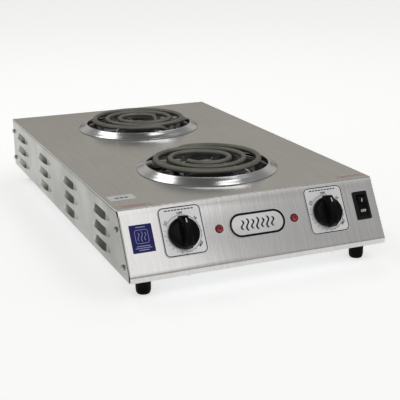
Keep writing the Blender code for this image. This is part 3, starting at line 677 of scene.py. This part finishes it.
louvres = {
    "tops": (0.025, 0.0458, 0.0666),   # above the body's underside
    "height": 0.0096,
    "depth": 0.0045,
    "flat": 0.0165,
    "end": 0.0165,
    "pitch": 0.145,
    "forward": 0.003,       # of the middle of the side
    "count": 4,
    "endSteps": 8,
    "rows": 6,
    "cap": 0.5,             # how blunt the ends are
    "guard": 0.0007,        # a flat margin round each one
    "lag": 0.15,            # share of the height before the face leaves the sheet
}


def makeSide(hand, side):
    # one louvred side: a flat sheet scored along its louvres, slit under each, and pushed out
    top = deckZ - housing["sheet"] - 0.0003
    low = floorOfBody
    panel = addPlane(rearY - frontY, top - low)
    settle(panel, moved(side * halfWidth, 0, (top + low) / 2) @ turned(pi / 2, "Z") @ turned(pi / 2, "X"))
    editing(panel)

    score((0, rearY - housing["edgeBack"], 0), (0, 1, 0), True)
    score((0, frontY + housing["edgeBack"], 0), (0, -1, 0), True)
    score((0, frontY + housing["edgeBack"], lipZ), (0, -sin(slopeAngle), cos(slopeAngle)), True)
    middle = (foldY + rearY) / 2 - louvres["forward"]
    first = middle - louvres["pitch"] * (louvres["count"] - 1) / 2
    centres = [first + k * louvres["pitch"] for k in range(louvres["count"])]
    steps, full = louvres["endSteps"], louvres["flat"] + louvres["end"]
    bends = [sin(k * pi / 2 / steps) for k in range(steps + 1)]
    reaches = [louvres["flat"] + louvres["end"] * bend for bend in bends]
    tall, rows, guard = louvres["height"], louvres["rows"], louvres["guard"]
    for centre in centres:
        scoreAlong(1, (centre + way * reach for reach in [*reaches, full + guard] for way in (-1, 1)))
    tops = [low + rise for rise in louvres["tops"]]
    for crown in tops:
        falls = [tall * k / rows for k in range(rows + 1)]
        scoreAlong(2, (crown - fall for fall in [*falls, -guard, tall + guard]))

    def fromCentre(at):
        return min(abs(at.y - centre) for centre in centres)

    def onSlit(middle, edge):
        level = min(abs(middle.z - (crown - tall)) for crown in tops)
        upright = abs(edge.verts[0].co.z - edge.verts[1].co.z)
        return level < near and upright < near and fromCentre(middle) < full - near

    pick("EDGE", onSlit)
    bpy.ops.mesh.edge_split(type="EDGE")

    def pushable(row, nearest, furthest):
        # the points of this row between two reaches, on every louvre, but not those of the sill under it
        def test(at, vert):
            fall = min((crown - at.z for crown in tops if crown - at.z > -near), default=1)
            onRow = abs(fall - tall * row / rows) < near
            sill = row == rows and max(face.calc_center_median().z for face in vert.link_faces) < at.z
            return onRow and nearest - near < fromCentre(at) < furthest + near and not sill
        return test

    for row in range(1, rows + 1):
        out = max(0.0, row / rows - louvres["lag"]) / (1 - louvres["lag"]) * louvres["depth"]
        for k, (bend, reach) in enumerate(zip(bends[:-1], reaches)):
            pick("VERT", pushable(row, reach if k else 0, reach))
            shift(x=side * out * (1 - bend) ** louvres["cap"])

    def onEdge(height):
        return lambda middle, edge: max(abs(vert.co.z - height) for vert in edge.verts) < near

    for height in (top, low):
        pick("EDGE", onEdge(height))
        extrudeBy(x=-side * housing["flange"])
    pick("EDGE", lambda middle, edge: abs(middle.x - side * halfWidth) < near
         and min(abs(middle.z - top), abs(middle.z - low)) < near and len(edge.link_faces) == 2)
    bpy.ops.mesh.bevel(offset=housing["sideBevel"], segments=5, affect="EDGES")
    faceOut()
    leaveEdit()
    faceTowards(panel, Vector((side, 0, 0)))
    thicken(panel, housing["sheet"])
    for label in ("front_upper", "front_lower", "rear_upper", "rear_lower"):
        at = middleOf(f"{hand}_{label}_screw")
        bore = addRod(holes["screw"], -0.008, 0.004, 24)
        cutWith(panel, settle(bore, moved(side * halfWidth, at.y, at.z) @ turned(side * pi / 2, "Y")))
    finishPiece(panel, f"{hand}Side", "sideSteel", stands=[f"{hand}_side_panel"], angle=22)


makeDeck()
for hand, side in sides:
    makeSide(hand, side)
print("housing made")

# fasteners and feet

screwShape = {
    "headRadius": 0.0036,
    "headHeight": 0.0028,
    "shank": 0.0019,
    "length": 0.007,
    "slot": 0.0009,
    "reach": 0.0021,        # how far the recess runs from the middle
    "turn": 0.3,
}


def makeScrew():
    # a pan head on +Z with a cross recess and a plain shank
    r, h = screwShape["headRadius"], screwShape["headHeight"]
    dome = [(0, h)] + [(r * sin(a), h * (0.35 + 0.65 * cos(a))) for a in (radians(k * 11) for k in range(2, 9))]
    shank = screwShape["shank"]
    profile = [*dome, (r, 0.0), (shank, 0.0), (shank, -0.0055), (0, -screwShape["length"])]
    screw = spun(profile, 28)
    for turn in (0, pi / 2):
        bar = addBlock(2 * screwShape["reach"], screwShape["slot"], 0.0024, at=(0, 0, h))
        editing(bar)
        pick("FACE", lambda middle, face: middle.z < h - 0.0011)
        resize(0.45, 0.7, 1, h)
        leaveEdit()
        cutWith(screw, settle(bar, turned(turn + screwShape["turn"], "Z")))
    return screw


screwModel = makeScrew()
for hand, side in sides:
    for order, label in enumerate(("front_upper", "front_lower", "rear_upper", "rear_lower")):
        node = f"{hand}_{label}_screw"
        at = middleOf(node)
        place = moved(side * (halfWidth + 0.0003), at.y, at.z) @ turned(side * pi / 2, "Y") @ turned(0.6 * order, "Z")
        screw = settle(twin(screwModel), place)
        finishPiece(screw, f"{hand}Screw{order + 1}", "zincPlate", stands=[node])
discard(screwModel)

footShape = {"radius": 0.0102, "top": 0.0245, "bore": 0.0028, "recess": 0.0056}


def makeFoot():
    # a moulded rubber foot: a collar at the top, a slight taper, a rounded tread and a recess for its stud
    r, top, bore, recess = (footShape[key] for key in ("radius", "top", "bore", "recess"))
    profile = [
        (bore, top), (r - 0.001, top), (r - 0.0002, top - 0.0006), (r, top - 0.0016), (r, top - 0.006),
        (r - 0.0005, top - 0.0068), (r - 0.0006, 0.006), (r - 0.001, 0.0032), (r - 0.0017, 0.0013),
        (r - 0.0026, 0.0003), (r - 0.0036, 0.0), (recess + 0.0006, 0.0), (recess, 0.0005), (recess, 0.0068),
        (bore, 0.0068),
    ]
    return spun(profile, 48, closed=True)


footModel = makeFoot()
for end in ("front", "rear"):
    for hand in ("left", "right"):
        node = f"{end}_{hand}_foot"
        at = middleOf(node)
        foot = settle(twin(footModel), moved(at.x, at.y, 0))
        finishPiece(foot, f"{end}{hand.capitalize()}Foot", "footRubber", stands=[node])
discard(footModel)
print("fasteners and feet made")

# burners

ringShape = {"outer": 0.0977, "inner": 0.086, "rise": 0.009, "wall": 0.0007}


def makeRing():
    # a chromed cone with a small turned-down foot and a rolled inner rim
    r0, r1, h, t = ringShape["outer"], ringShape["inner"], ringShape["rise"], ringShape["wall"]
    outside = [
        (r0 - 0.0003, 0.0003), (r0, 0.0006), (r0, 0.0011), (r0 - 0.0006, 0.0016), (r0 - 0.0045, 0.0036),
        (r0 - 0.008, 0.0062), (r1 + 0.0014, h - 0.0006), (r1 + 0.0006, h - 0.0001), (r1 - 0.0002, h),
        (r1 - 0.001, h - 0.0004), (r1 - 0.0015, h - 0.0012), (r1 - 0.0016, h - 0.0034),
    ]
    inside = [
        (r1 - 0.001, h - 0.0034), (r1 - 0.0009, h - 0.0014), (r1 - 0.0004, h - 0.0008),
        (r1 + 0.0008, h - 0.0008 - t * 0.4),
        (r0 - 0.0084, 0.0062 - t), (r0 - 0.0049, 0.0036 - t), (r0 - 0.0012, 0.0009), (r0 - 0.0012, 0.0003),
    ]
    return spun([*outside, *inside], 144, closed=True)


bowlShape = {"depth": 0.027, "wall": 0.0006, "rim": 0.0912}


def makeBowl():
    # the reflector pan: a rim on the deck, a rounded wall, a stepped floor and an upturned hole in the middle
    d, t = bowlShape["depth"], bowlShape["wall"]
    face = [
        (bowlShape["rim"], 0.0003), (bowlShape["rim"], 0.0003 + t), (0.0866, 0.0003 + t), (0.0848, -0.0004),
        (0.0836, -0.004), (0.0806, -0.016), (0.078, -0.0205), (0.074, -0.024), (0.069, -d + 0.001),
        (0.064, -d + 0.0004), (0.052, -d - 0.0002), (0.05, -d - 0.001), (0.033, -d - 0.0013),
        (0.027, -d - 0.001), (0.0245, -d - 0.0002), (0.0239, -d + 0.0012),
    ]

    def behind(r, z):
        # the outside point behind a point of the face: the wall is set out sideways, the floor down
        onWall = z > -0.026 and r < 0.086
        across = r - 0.0002 if r < 0.03 else r - t * 0.1 + t * (0.9 if onWall else 0)
        return across, z - t if r < 0.075 else z - t * 0.3

    back = [behind(r, z) for r, z in reversed(face[3:])]
    bowl = spun([*face, *back, (0.0858, 0.0003)], 144, closed=True)
    low, high = -leadDrop - 0.0055, -leadDrop + 0.0085
    notch = addBlock(0.036, 0.03, high - low, at=(0.023, -0.085, (low + high) / 2))
    cutWith(bowl, notch)
    return bowl


coil = {
    "tube": 0.0039,
    "rise": 0.0135,
    "turns": (0.031, 0.0512, 0.0712),
    "start": 14,            # degrees
    "end": 988,
    "leads": (0.012, 0.034),
    "pinShare": 0.42,
    "perTurn": 96,
    "spacing": 0.0016,
    "flat": 0.0004,
}


def ease(t):
    t = min(1.0, max(0.0, t))
    return t * t * (3 - 2 * t)


def turnRadius(angle):
    turn = int(angle // (2 * pi))
    share = ease((angle - 2 * pi * turn - radians(225)) / radians(120))
    radii = coil["turns"]
    return radii[turn] + (radii[min(turn + 1, len(radii) - 1)] - radii[turn]) * share


def smoothRoute(points, spacing):
    ends = [points[0], *points, points[-1]]
    route = []
    for a, b, c, d in zip(ends, ends[1:], ends[2:], ends[3:]):
        a, b, c, d = Vector(a), Vector(b), Vector(c), Vector(d)
        steps = max(1, round((c - b).length / spacing))
        for k in range(steps):
            t = k / steps
            p = 0.5 * (2 * b + (c - a) * t + (2 * a - 5 * b + 4 * c - d) * t ** 2 + (3 * b - a - 3 * c + d) * t ** 3)
            route.append((p.x, p.y, p.z, 1.0))
    return [*route, (*points[-1], 1.0)]


def coilRoute():
    inX, outX = coil["leads"]
    up, low, socket, share = coil["rise"], -leadDrop, -pivotReach - 0.014, coil["pinShare"]
    begin = [(inX, socket, low, share), (inX, -pivotReach - 0.001, low, share), (inX, -pivotReach, low, 1)]
    inner = smoothRoute([
        (inX, -pivotReach + 0.004, low), (inX, -0.052, low), (0.0165, -0.03, low), (0.0262, -0.012, low + 0.0025),
        (0.0304, -0.0012, low + 0.014), (0.0307, 0.0042, up - 0.0035),
    ], coil["spacing"])
    start, end = radians(coil["start"]), radians(coil["end"])
    steps = round((end - start) / (2 * pi) * coil["perTurn"])
    angles = [start + (end - start) * k / steps for k in range(steps + 1)]
    turns = [(turnRadius(a) * cos(a), turnRadius(a) * sin(a), up, 1) for a in angles]
    outer = smoothRoute([
        (0.0105, -0.0702, up - 0.001), (0.021, -0.0672, up - 0.007), (0.029, -0.065, up - 0.016),
        (0.0332, -0.069, low + 0.0035), (outX, -0.077, low), (outX, -pivotReach + 0.004, low),
    ], coil["spacing"])
    tail = [(outX, -pivotReach, low, 1), (outX, -pivotReach - 0.001, low, share), (outX, socket, low, share)]
    return [*begin, *inner, *turns, *outer, *tail]


def makeCoil():
    # the sheathed heating tube on one route from pin to pin, its top pressed a little flat
    deselectAll()
    bpy.ops.curve.primitive_nurbs_path_add()
    path = bpy.context.object
    path.data.splines.clear()
    route = coilRoute()
    spline = path.data.splines.new("POLY")
    spline.points.add(len(route) - 1)
    for point, (x, y, z, share) in zip(spline.points, route):
        point.co = (x, y, z, 1)
        point.radius = share
    path.data.bevel_depth = coil["tube"]
    path.data.bevel_resolution = 5
    path.data.use_fill_caps = True
    path.data.use_radius = True
    bpy.ops.object.convert(target="MESH")
    tube = bpy.context.object
    editing(tube)
    tidyMesh(0.00001)
    level = coil["rise"] + coil["tube"] - coil["flat"]
    pick("VERT", lambda at, vert: at.z > level)
    resize(1, 1, 0, level)
    leaveEdit()
    return tube


medallionShape = {"radius": 0.0116, "height": 0.0009, "rise": 0.0081}


def makeMedallion():
    # the pressed cap in the middle of the support, with a raised ring round a dished centre
    r, h = medallionShape["radius"], medallionShape["height"]
    return spun([
        (0, h * 0.35), (r * 0.45, h * 0.4), (r * 0.55, h), (r * 0.72, h), (r * 0.8, h * 0.55), (r * 0.94, h * 0.3),
        (r, 0.0), (r * 0.9, -0.0002), (0, -0.0002),
    ], 64)


for name, (centre, turn) in burners.items():
    place = Matrix.Translation(centre) @ turned(turn, "Z")
    body = f"{name}_coil"
    onArms = place @ moved(z=medallionShape["rise"])
    for made, at, part, look, rides, stands, slot, angle in (
        (makeRing(), place, "Ring", "ringChrome", "housing", ["trim_ring"], "chrome", 28),
        (makeBowl(), place, "Bowl", "bowlChrome", "housing", ["drip_bowl"], "chrome", 40),
        (makeCoil(), place, "Coil", "elementSheath", body, ["element"], "element_sheath", 50),
        (makeMedallion(), onArms, "Medallion", "capSteel", body, [], "support_steel", 35),
    ):
        nodes = [f"{name}_{node}" for node in stands]
        finishPiece(settle(made, at), name + part, look, rides, nodes, angle)
print("burners made")

# controls

knobShape = {
    "radius": 0.02,
    "height": 0.021,
    "low": 0.0017,
    "overhang": 0.0012,     # of the grip bar past the skirt
    "bar": 0.0128,          # its width below
    "top": 0.0082,          # its width on top
    "barLow": 0.007,
    "endDrop": 0.003,
    "waist": 0.45,
    "bore": (0.0033, 0.0165),
}


def makeKnob():
    # a skirt with a rounded shoulder, hollow behind, and a waisted grip bar across it
    r, low = knobShape["radius"], knobShape["low"]
    profile = [
        (0, 0.0096), (r * 0.6, 0.0095), (r * 0.8, 0.0091), (r * 0.9, 0.0084), (r * 0.955, 0.0074),
        (r * 0.98, 0.006), (r, 0.0036), (r, low + 0.0004), (r - 0.0003, low), (r - 0.0016, low),
        (r - 0.0017, 0.0056), (0, 0.0056),
    ]
    knob = spun(profile, 96)
    tip, height, foot = r + knobShape["overhang"], knobShape["height"], knobShape["barLow"]
    bar = addBlock(knobShape["bar"], 2 * tip, height - foot, at=(0, 0, (height + foot) / 2))
    editing(bar)
    scoreAlong(1, (tip * knobShape["waist"], -tip * knobShape["waist"]))
    pick("VERT", lambda at, vert: at.z > height - 0.001)
    resize(knobShape["top"] / knobShape["bar"], 0.88, 1)
    pick("VERT", lambda at, vert: at.z > height - 0.001 and abs(at.y) > tip * 0.8)
    shift(z=-knobShape["endDrop"])
    leaveEdit()
    soften(bar, 0.0016, 4)
    cutWith(knob, bar, "UNION")
    radius, top = knobShape["bore"]
    cutWith(knob, addRod(radius, 0, top, 48))
    return knob


def makePointer():
    # the white index let into the top of the grip bar
    tip, height = knobShape["radius"] + knobShape["overhang"], knobShape["height"]
    line = addBlock(0.0015, 0.0105, 0.0004, at=(0, 0.0098, height - 0.0003))
    editing(line)
    scoreAlong(1, [tip * knobShape["waist"] * 0.9])
    pick("VERT", lambda at, vert: at.y > 0.014)
    shift(z=-0.0016)
    leaveEdit()
    soften(line, 0.0001, 2)
    return line


knobModel, pointerModel = makeKnob(), makePointer()
dial = {
    "size": (0.0561, 0.0619),
    "low": 0.0003,
    "thickness": 0.0005,
    "corner": 0.0065,
    "line": 0.0012,
    "arcRadius": 0.0232,
}


def makeDialPrint():
    # outline, scale arc with its ticks, words and heading bars, in one printed layer on the plate's face
    top = dial["low"] + dial["thickness"] + 0.00002
    width, height = dial["size"]
    layer = [roundedPlate(width - 0.001, height - 0.001, dial["corner"], fineInk, top, border=dial["line"])]
    centre = moved(y=knobRise)
    r = dial["arcRadius"]
    layer.append(settle(arcRibbon(r - 0.00026, r + 0.00026, radians(152), radians(236), fineInk, top), centre))
    for degree in range(165, 386, 15):
        tick = printBar(0.0023 if degree % 45 == 0 else 0.0016, 0.00055, fineInk, (r + 0.0005, 0, top))
        layer.append(settle(tick, centre @ turned(radians(degree), "Z")))
    for words, degree, size in (("OFF", 90, 0.0042), ("LO", 143, 0.0042), ("HI", 42, 0.0042), ("MED", -38, 0.0036)):
        a = radians(degree)
        at = ((r + 0.0024) * cos(a), knobRise + (r + 0.0024) * sin(a), top + fineInk / 2)
        layer.append(lettering(words, size, at, a - pi / 2 if degree > 0 else a + pi / 2, fineInk))
    for k in range(9):
        long = 0.0031 if k % 3 else 0.0037
        layer.append(printBar(long, 0.0014, fineInk, (-0.0172 + 0.0043 * k, height / 2 - 0.0046, top)))
    return joined(layer)


dialPlate = roundedPlate(*dial["size"], dial["corner"], dial["thickness"], dial["low"])
cutWith(dialPlate, addRod(holes["knob"], -0.01, 0.01, 48, at=(0, knobRise)))
dialPrint = makeDialPrint()
lampRadius = 0.0046


def makeLamp():
    # a domed lens with cut facets, its stem through the panel
    r = lampRadius
    lens = spun([
        (0, 0.0036), (r * 0.34, 0.0034), (r * 0.62, 0.0027), (r * 0.86, 0.0016), (r * 0.93, 0.0009), (r, 0.0008),
        (r, 0.0003), (r - 0.001, 0.0003), (r - 0.001, -0.007), (0, -0.007),
    ], 20)
    editing(lens)
    pick("FACE", lambda at, face: at.z > 0.0012)
    bpy.ops.mesh.poke(offset=0.00022)
    leaveEdit()
    return lens


def makeLampShadowRing():
    # a thin black ring round the lens: painted shadow of the lens's bezel, not a part of the lamp
    r = lampRadius
    return spun([
        (r + 0.00005, 0.0003), (r + 0.0008, 0.0003), (r + 0.0008, 0.0006), (r + 0.0005, 0.001),
        (r + 0.00005, 0.001),
    ], 32, closed=True)


lampModel, lampShadowRingModel = makeLamp(), makeLampShadowRing()
for hand, side in sides:
    body = f"{hand}_control"
    for model, spot, part, look, rides, stands, slot, angle in (
        (knobModel, "knob", "Knob", "knobBlack", body, ["knob"], "black_plastic", 30),
        (pointerModel, "knob", "Pointer", "whiteInk", body, [], "black_plastic", 35),
        (dialPlate, "dial", "DialPlate", "dialSilver", "housing", ["dial_plate"], "plate_silver", 35),
        (dialPrint, "dial", "DialPrint", "blackInk", "housing", [], "plate_silver", 0),
        (lampModel, "lamp", "Lamp", "lampRed", "housing", ["lamp_lens"], "red_lens", 0),
        # the black ring round each lens is painted shadow of its bezel
        (lampShadowRingModel, "lamp", "LampShadowRing", "blackInk", "housing", [], "black_plastic", 30),
    ):
        nodes = [f"{hand}_{node}" for node in stands]
        piece = settle(twin(model), panelPlace(spot, side))
        finishPiece(piece, hand + part, look, rides, nodes, angle)
discard(knobModel, pointerModel, dialPlate, dialPrint, lampModel, lampShadowRingModel)
print("knobs, dials and lamps made")

switchShape = {
    "size": (0.0208, 0.0376),
    "body": (0.0186, 0.033),
    "well": (0.013, 0.0276),
    "rocker": (0.0122, 0.0256),
    "thick": 0.007,
    "tilt": radians(7),
}


def makeSwitchHousing():
    # a bevelled bezel round a deep well, and the body behind the panel
    width, height = switchShape["size"]
    bezel = roundedPlate(width, height, 0.0016, 0.0018, 0.0003)
    soften(bezel, 0.0005, 3)
    cutWith(bezel, addBlock(*switchShape["body"], 0.024, at=(0, 0, -0.011)), "UNION")
    well = roundedPlate(*switchShape["well"], 0.0006, 0.014, -0.01, steps=3)
    cutWith(bezel, well)
    rim = roundedPlate(*(side + 0.0012 for side in switchShape["well"]), 0.0009, 0.0012, 0.0017, steps=3)
    cutWith(bezel, rim)
    return bezel


def dishHeight(share):
    # the height of the rocker's face, from its middle (0) to its end (1)
    return 0.0042 + 0.0028 * share ** 1.4


def makeRocker():
    # the rocker: two dished halves over a rounded back
    width, height = switchShape["rocker"]
    half = height / 2
    thick = switchShape["thick"]
    block = addBlock(width, height, thick, at=(0, 0, thick / 2))
    editing(block)
    slices = levels(height, 12)
    scoreAlong(1, slices[1:-1])
    for along in slices:
        share = abs(along) / half
        dish = dishHeight(share) - thick
        belly = -0.0042 * (1 - min(1, share) ** 2) ** 0.5 + 0.003 * share ** 2
        pick("VERT", lambda at, vert: abs(at.y - along) < near and at.z > 0.0035)
        shift(z=dish)
        pick("VERT", lambda at, vert: abs(at.y - along) < near and abs(at.z) < near)
        shift(z=belly)
    leaveEdit()
    soften(block, 0.0005, 3)
    return block


switchPlace = panelPlace("switch")
rockerPlace = switchPlace @ moved(z=-0.003) @ turned(switchShape["tilt"], "X")
switch = settle(makeSwitchHousing(), switchPlace)
finishPiece(switch, "switchHousing", "switchBlack", stands=["switch_housing"])
rocker = settle(makeRocker(), rockerPlace)
finishPiece(rocker, "switchRocker", "knobBlack", "switch_rocker", ["rocker"])


def onRocker(along):
    # the frame of a print on the dished face, this far up from the rocker's middle
    half = switchShape["rocker"][1] / 2
    share = abs(along) / half
    tilt = 0.0028 * 1.4 * share ** 0.4 / half * (1 if along > 0 else -1)
    return moved(0, along, dishHeight(share) + 0.00008) @ turned(atan2(tilt, 1), "X")


offMark = settle(lettering("OFF", 0.0046, (0, 0, 0)), rockerPlace @ onRocker(-0.007))
finishPiece(offMark, "rockerOffMark", "whiteInk", "switch_rocker", angle=0)
onMark = settle(printBar(0.001, 0.0048, inkDepth, (0, 0, 0)), rockerPlace @ onRocker(0.0072))
finishPiece(onMark, "rockerOnMark", "whiteInk", "switch_rocker", angle=0)

# badge and labels

badge = {"size": (0.078, 0.032), "border": 0.0029, "thickness": 0.0008, "low": 0.0003}


def heatLines(width, height, line, count, gap, thickness, at):
    # printed heat lines: one upright strip bent into a wave, then copied along
    slices = levels(height, 16)
    strip = addPlane(line, height)
    editing(strip)
    scoreAlong(1, slices[1:-1])
    for level in slices:
        pick("VERT", lambda place, vert: abs(place.y - level) < near)
        shift(x=width / 2 * sin(2 * pi * level / height))
    selectAll()
    extrudeBy(z=thickness)
    tidyMesh()
    leaveEdit()
    lines = []
    for k in range(count):
        copied = twin(strip)
        editing(copied)
        selectAll()
        resize(1, 1.0 if k % 2 else 0.78, 1)
        leaveEdit()
        lines.append(settle(copied, moved(at[0] + (k - (count - 1) / 2) * gap, at[1], at[2])))
    discard(strip)
    return lines


def makeBadge():
    width, height = badge["size"]
    plate = roundedPlate(width, height, height / 2 - 0.0001, badge["thickness"], badge["low"], steps=24)
    soften(plate, 0.0002, 2)
    return plate


def makeBadgePrint():
    width, height = badge["size"]
    top = badge["low"] + badge["thickness"] + 0.00001
    outline = roundedPlate(width - 0.0012, height - 0.0012, height / 2 - 0.0007, inkDepth, top, badge["border"], 24)
    layer = [outline]
    layer += heatLines(0.0038, 0.0155, 0.0024, 7, 0.007, inkDepth, (0, 0, top))
    return joined(layer)


rating = {"size": (0.0286, 0.0344), "thickness": 0.00012}


def makeRatingLabel():
    return roundedPlate(*rating["size"], 0.0006, rating["thickness"], 0.00003)


def makeRatingPrint():
    # plain bars where the words would be, round three heat lines
    top = rating["thickness"] + 0.00004
    layer = []
    for y, long in ((0.014, 0.012), (-0.0092, 0.017), (-0.0116, 0.021), (-0.014, 0.013)):
        layer.append(printBar(long, 0.001, fineInk, (0, y, top)))
    layer += heatLines(0.0022, 0.0125, 0.0008, 3, 0.0042, fineInk, (0, 0.0024, top))
    layer.append(settle(roundedPlate(0.017, 0.017, 0.003, fineInk, top, border=0.0006), moved(y=0.0024)))
    return joined(layer)


for made, spot, part, look, stands, slot, angle in (
    (makeBadge(), "badge", "Plate", "badgeSilver", ["badge"], "plate_silver", 35),
    (makeBadgePrint(), "badge", "Print", "blackInk", [], "plate_silver", 0),
    (makeRatingLabel(), "rating", "Label", "labelBlue", [], None, 35),
    (makeRatingPrint(), "rating", "Print", "labelInk", [], None, 0),
):
    finishPiece(settle(made, panelPlace(spot)), spot + part, look, "housing", stands, angle)

stickers = {
    "deckSticker": ("stickerWhite", "greyInk", (-0.172, -0.138, -0.226, -0.205), (0.018, 0.0052), 3),
    "leftStrip": ("stickerPink", "pinkInk", (-0.174, -0.1285, -0.2575, -0.2475), (0.036, 0.0016), 2),
    "rightStrip": ("stickerPink", "pinkInk", (0.134, 0.177, -0.253, -0.245), (0.034, 0.0014), 2),
}
for name, (paper, ink, (x0, x1, y0, y1), (long, thick), rows) in stickers.items():
    sheet = roundedPlate(x1 - x0, y1 - y0, 0.0006, 0.00012, 0.00003)
    centre = moved((x0 + x1) / 2, (y0 + y1) / 2, deckZ)
    finishPiece(settle(sheet, centre), name, paper)
    bars = []
    for k in range(rows):
        if name == "deckSticker":
            size, at = (long / 4, thick), ((k - 1) * long / 3, -0.001, 0.00016)
        else:
            size, at = (long * (1 if k % 2 else 0.8), thick), (0, (k - (rows - 1) / 2) * 2.1 * thick, 0.00016)
        bars.append(printBar(*size, fineInk, at))
    finishPiece(settle(joined(bars), centre), f"{name}Print", ink, angle=0)
print("badge and labels made")

# eased copies of the frame's pieces, and those that stay

eased = {
    # node: name, edge, finish, body, slot
    "front_element_support": ("frontArms", 0.0002, "brightStrip", "front_coil", "support_steel"),
    "rear_element_support": ("rearArms", 0.0002, "brightStrip", "rear_coil", "support_steel"),
    "front_receptacle": ("frontSocket", 0.0006, "socketCeramic", "housing", "ceramic"),
    "rear_receptacle": ("rearSocket", 0.0006, "socketCeramic", "housing", "ceramic"),
    "cord_gland": ("cordGland", 0.0005, "nylonBlack", "housing", "nylon"),
}
for node, (name, edge, surface, body, slot) in eased.items():
    finishPiece(easedCopy(node, edge), name, surface, body, [node])

kept = {
    "plateSteel": ["rear_panel"],
    "baseSteel": ["base_plate", "front_receptacle_bracket", "rear_receptacle_bracket"],
    "controlBrown": ["left_regulator", "right_regulator"],
    "nylonBlack": ["left_lamp_holder", "right_lamp_holder", "terminal_block"],
    "glassSleeve": ["supply_wires", "left_regulator_wires", "right_regulator_wires", "panel_link_wires"],
    "zincPlate": ["left_shaft", "right_shaft", "left_regulator_nut", "right_regulator_nut"]
    + [f"base_screw_{k}" for k in (1, 2, 3, 4)]
    + [f"{end}_{hand}_foot_stud" for end in ("front", "rear") for hand in ("left", "right")],
}
for name, nodes in kept.items():
    for node in nodes:
        piece = frame["nodes"][node]
        for slot in piece.material_slots:
            slot.material = finish[name]
print("frame pieces finished")

# camera, floor and light

camera = linked(bpy.data.objects.new("camera", bpy.data.cameras.new("camera")))
view = {
    "lens": 84.03,
    "at": (-0.49856, -1.27688, 0.44348),
    "right": Vector((0.91956, -0.39285, -0.00895)),
    "up": Vector((0.12376, 0.26791, 0.95546)),
}
camera.data.lens = view["lens"]
axes = Matrix((view["right"], view["up"], view["right"].cross(view["up"])))
camera.matrix_world = moved(*view["at"]) @ axes.transposed().to_4x4()
camera.data.clip_start = 0.01
camera.data.clip_end = 100
bpy.context.scene.camera = camera

studio = {
    "floor": (0.84, 0.84, 0.835),
    "floorSize": 12,
    "floorGlow": 0.55,
    "aim": Vector((0, 0, 0.08)),
    "lights": (
        # where it stands from the object, size, power, colour
        ("leftSoftbox", (-0.86, 1.02, 1.92), (0.8, 0.8), 3.9, (1.0, 1.0, 1.0)),
        ("rightSoftbox", (0.66, -0.14, 2.05), (0.36, 0.6), 1.2, (1.0, 1.0, 1.0)),
        ("rimSoftbox", (0.9, 1.22, 1.9), (0.9, 0.5), 2.6, (1.0, 1.0, 1.0)),
        ("lowCard", (-0.68, 1.67, 0.09), (0.26, 0.18), 0.075, (1.0, 1.0, 0.97)),
        ("frontSoftbox", (0.36, -2.05, 1.68), (0.8, 0.8), 1.5, (1.0, 0.99, 0.99)),
    ),
    # rise of the direction, brightness and warmth of the sky, behind the object and before it
    "behind": (
        (-1.0, 0.5, 0.03), (-0.05, 0.5, 0.03), (0.0, 0.12, 0.03), (0.1, 0.15, 0.05), (0.17, 0.38, 0.13),
        (0.29, 0.46, 0.13), (0.42, 0.44, 0.06), (0.55, 0.24, 0.03), (0.68, 0.2, 0.0), (0.8, 0.24, 0.0),
        (0.87, 0.14, 0.0), (1.0, 0.08, 0.0),
    ),
    "before": (
        (-1.0, 0.5, 0.03), (0.0, 0.2, 0.03), (0.1, 0.25, 0.03), (0.3, 0.4, 0.0), (0.45, 0.46, 0.0),
        (0.54, 0.48, 0.0), (0.61, 0.56, 0.0), (0.68, 0.72, 0.0), (0.8, 1.1, 0.0), (0.86, 0.74, 0.0),
        (0.92, 0.12, 0.0), (1.0, 0.08, 0.0),
    ),
}
floor = addPlane(studio["floorSize"], studio["floorSize"])
floor.name = "floor"
floorFinish = bpy.data.materials.new("studioFloor")
floorFinish.use_nodes = True
floorShader = floorFinish.node_tree.nodes["Principled BSDF"]
floorShader.inputs["Base Color"].default_value = (*studio["floor"], 1)
floorShader.inputs["Roughness"].default_value = 0.9
floorShader.inputs["Emission Color"].default_value = (1, 1, 1, 1)
floorShader.inputs["Emission Strength"].default_value = studio["floorGlow"]
floor.data.materials.append(floorFinish)
for name, at, size, power, colour in studio["lights"]:
    lamp = linked(bpy.data.objects.new(name, bpy.data.lights.new(name, "AREA")))
    lamp.data.shape = "RECTANGLE"
    lamp.data.size, lamp.data.size_y = size
    lamp.data.energy = power
    lamp.data.color = colour
    lamp.location = at
    lamp.rotation_euler = (studio["aim"] - Vector(at)).to_track_quat("-Z", "Y").to_euler()

world = bpy.data.worlds.new("studio")
bpy.context.scene.world = world
world.use_nodes = True
sky, links = world.node_tree.nodes, world.node_tree.links
where = addNode(sky, "TexCoord")
split = addNode(sky, "SeparateXYZ")
half = addNode(sky, "Math", "MULTIPLY_ADD", a1=0.5, a2=0.5)
wire(links, (where, "Generated", split, "Vector"), (split, "Z", half, 0))


def skyRamp(stops):
    ramp = addNode(sky, "ValToRGB")
    for rise, _, _ in stops[1:-1]:
        ramp.color_ramp.elements.new((rise + 1) / 2)
    for element, (rise, tone, warmth) in zip(ramp.color_ramp.elements, stops):
        element.position = (rise + 1) / 2
        element.color = (tone, tone * (1 - warmth * 0.3), tone * (1 - warmth), 1)
    links.new(half.outputs["Value"], ramp.inputs["Fac"])
    return ramp


side = addNode(sky, "MapRange", From_Min=-0.3, From_Max=0.1)
side.interpolation_type = "SMOOTHSTEP"
dome = addNode(sky, "Mix")
dome.data_type = "RGBA"
seen = addNode(sky, "LightPath")
backdrop = addNode(sky, "Mix")
backdrop.data_type = "RGBA"
backdrop.inputs["B"].default_value = (1, 1, 1, 1)
wire(
    links,
    (split, "Y", side, "Value"),
    (side, "Result", dome, "Factor"),
    (skyRamp(studio["before"]), "Color", dome, "A"),
    (skyRamp(studio["behind"]), "Color", dome, "B"),
    (seen, "Is Camera Ray", backdrop, "Factor"),
    (dome, "Result", backdrop, "A"),
    (backdrop, "Result", sky["Background"], "Color"),
)
bpy.context.scene.view_settings.view_transform = "Standard"
print("camera and light set")

bpy.context.view_layer.update()
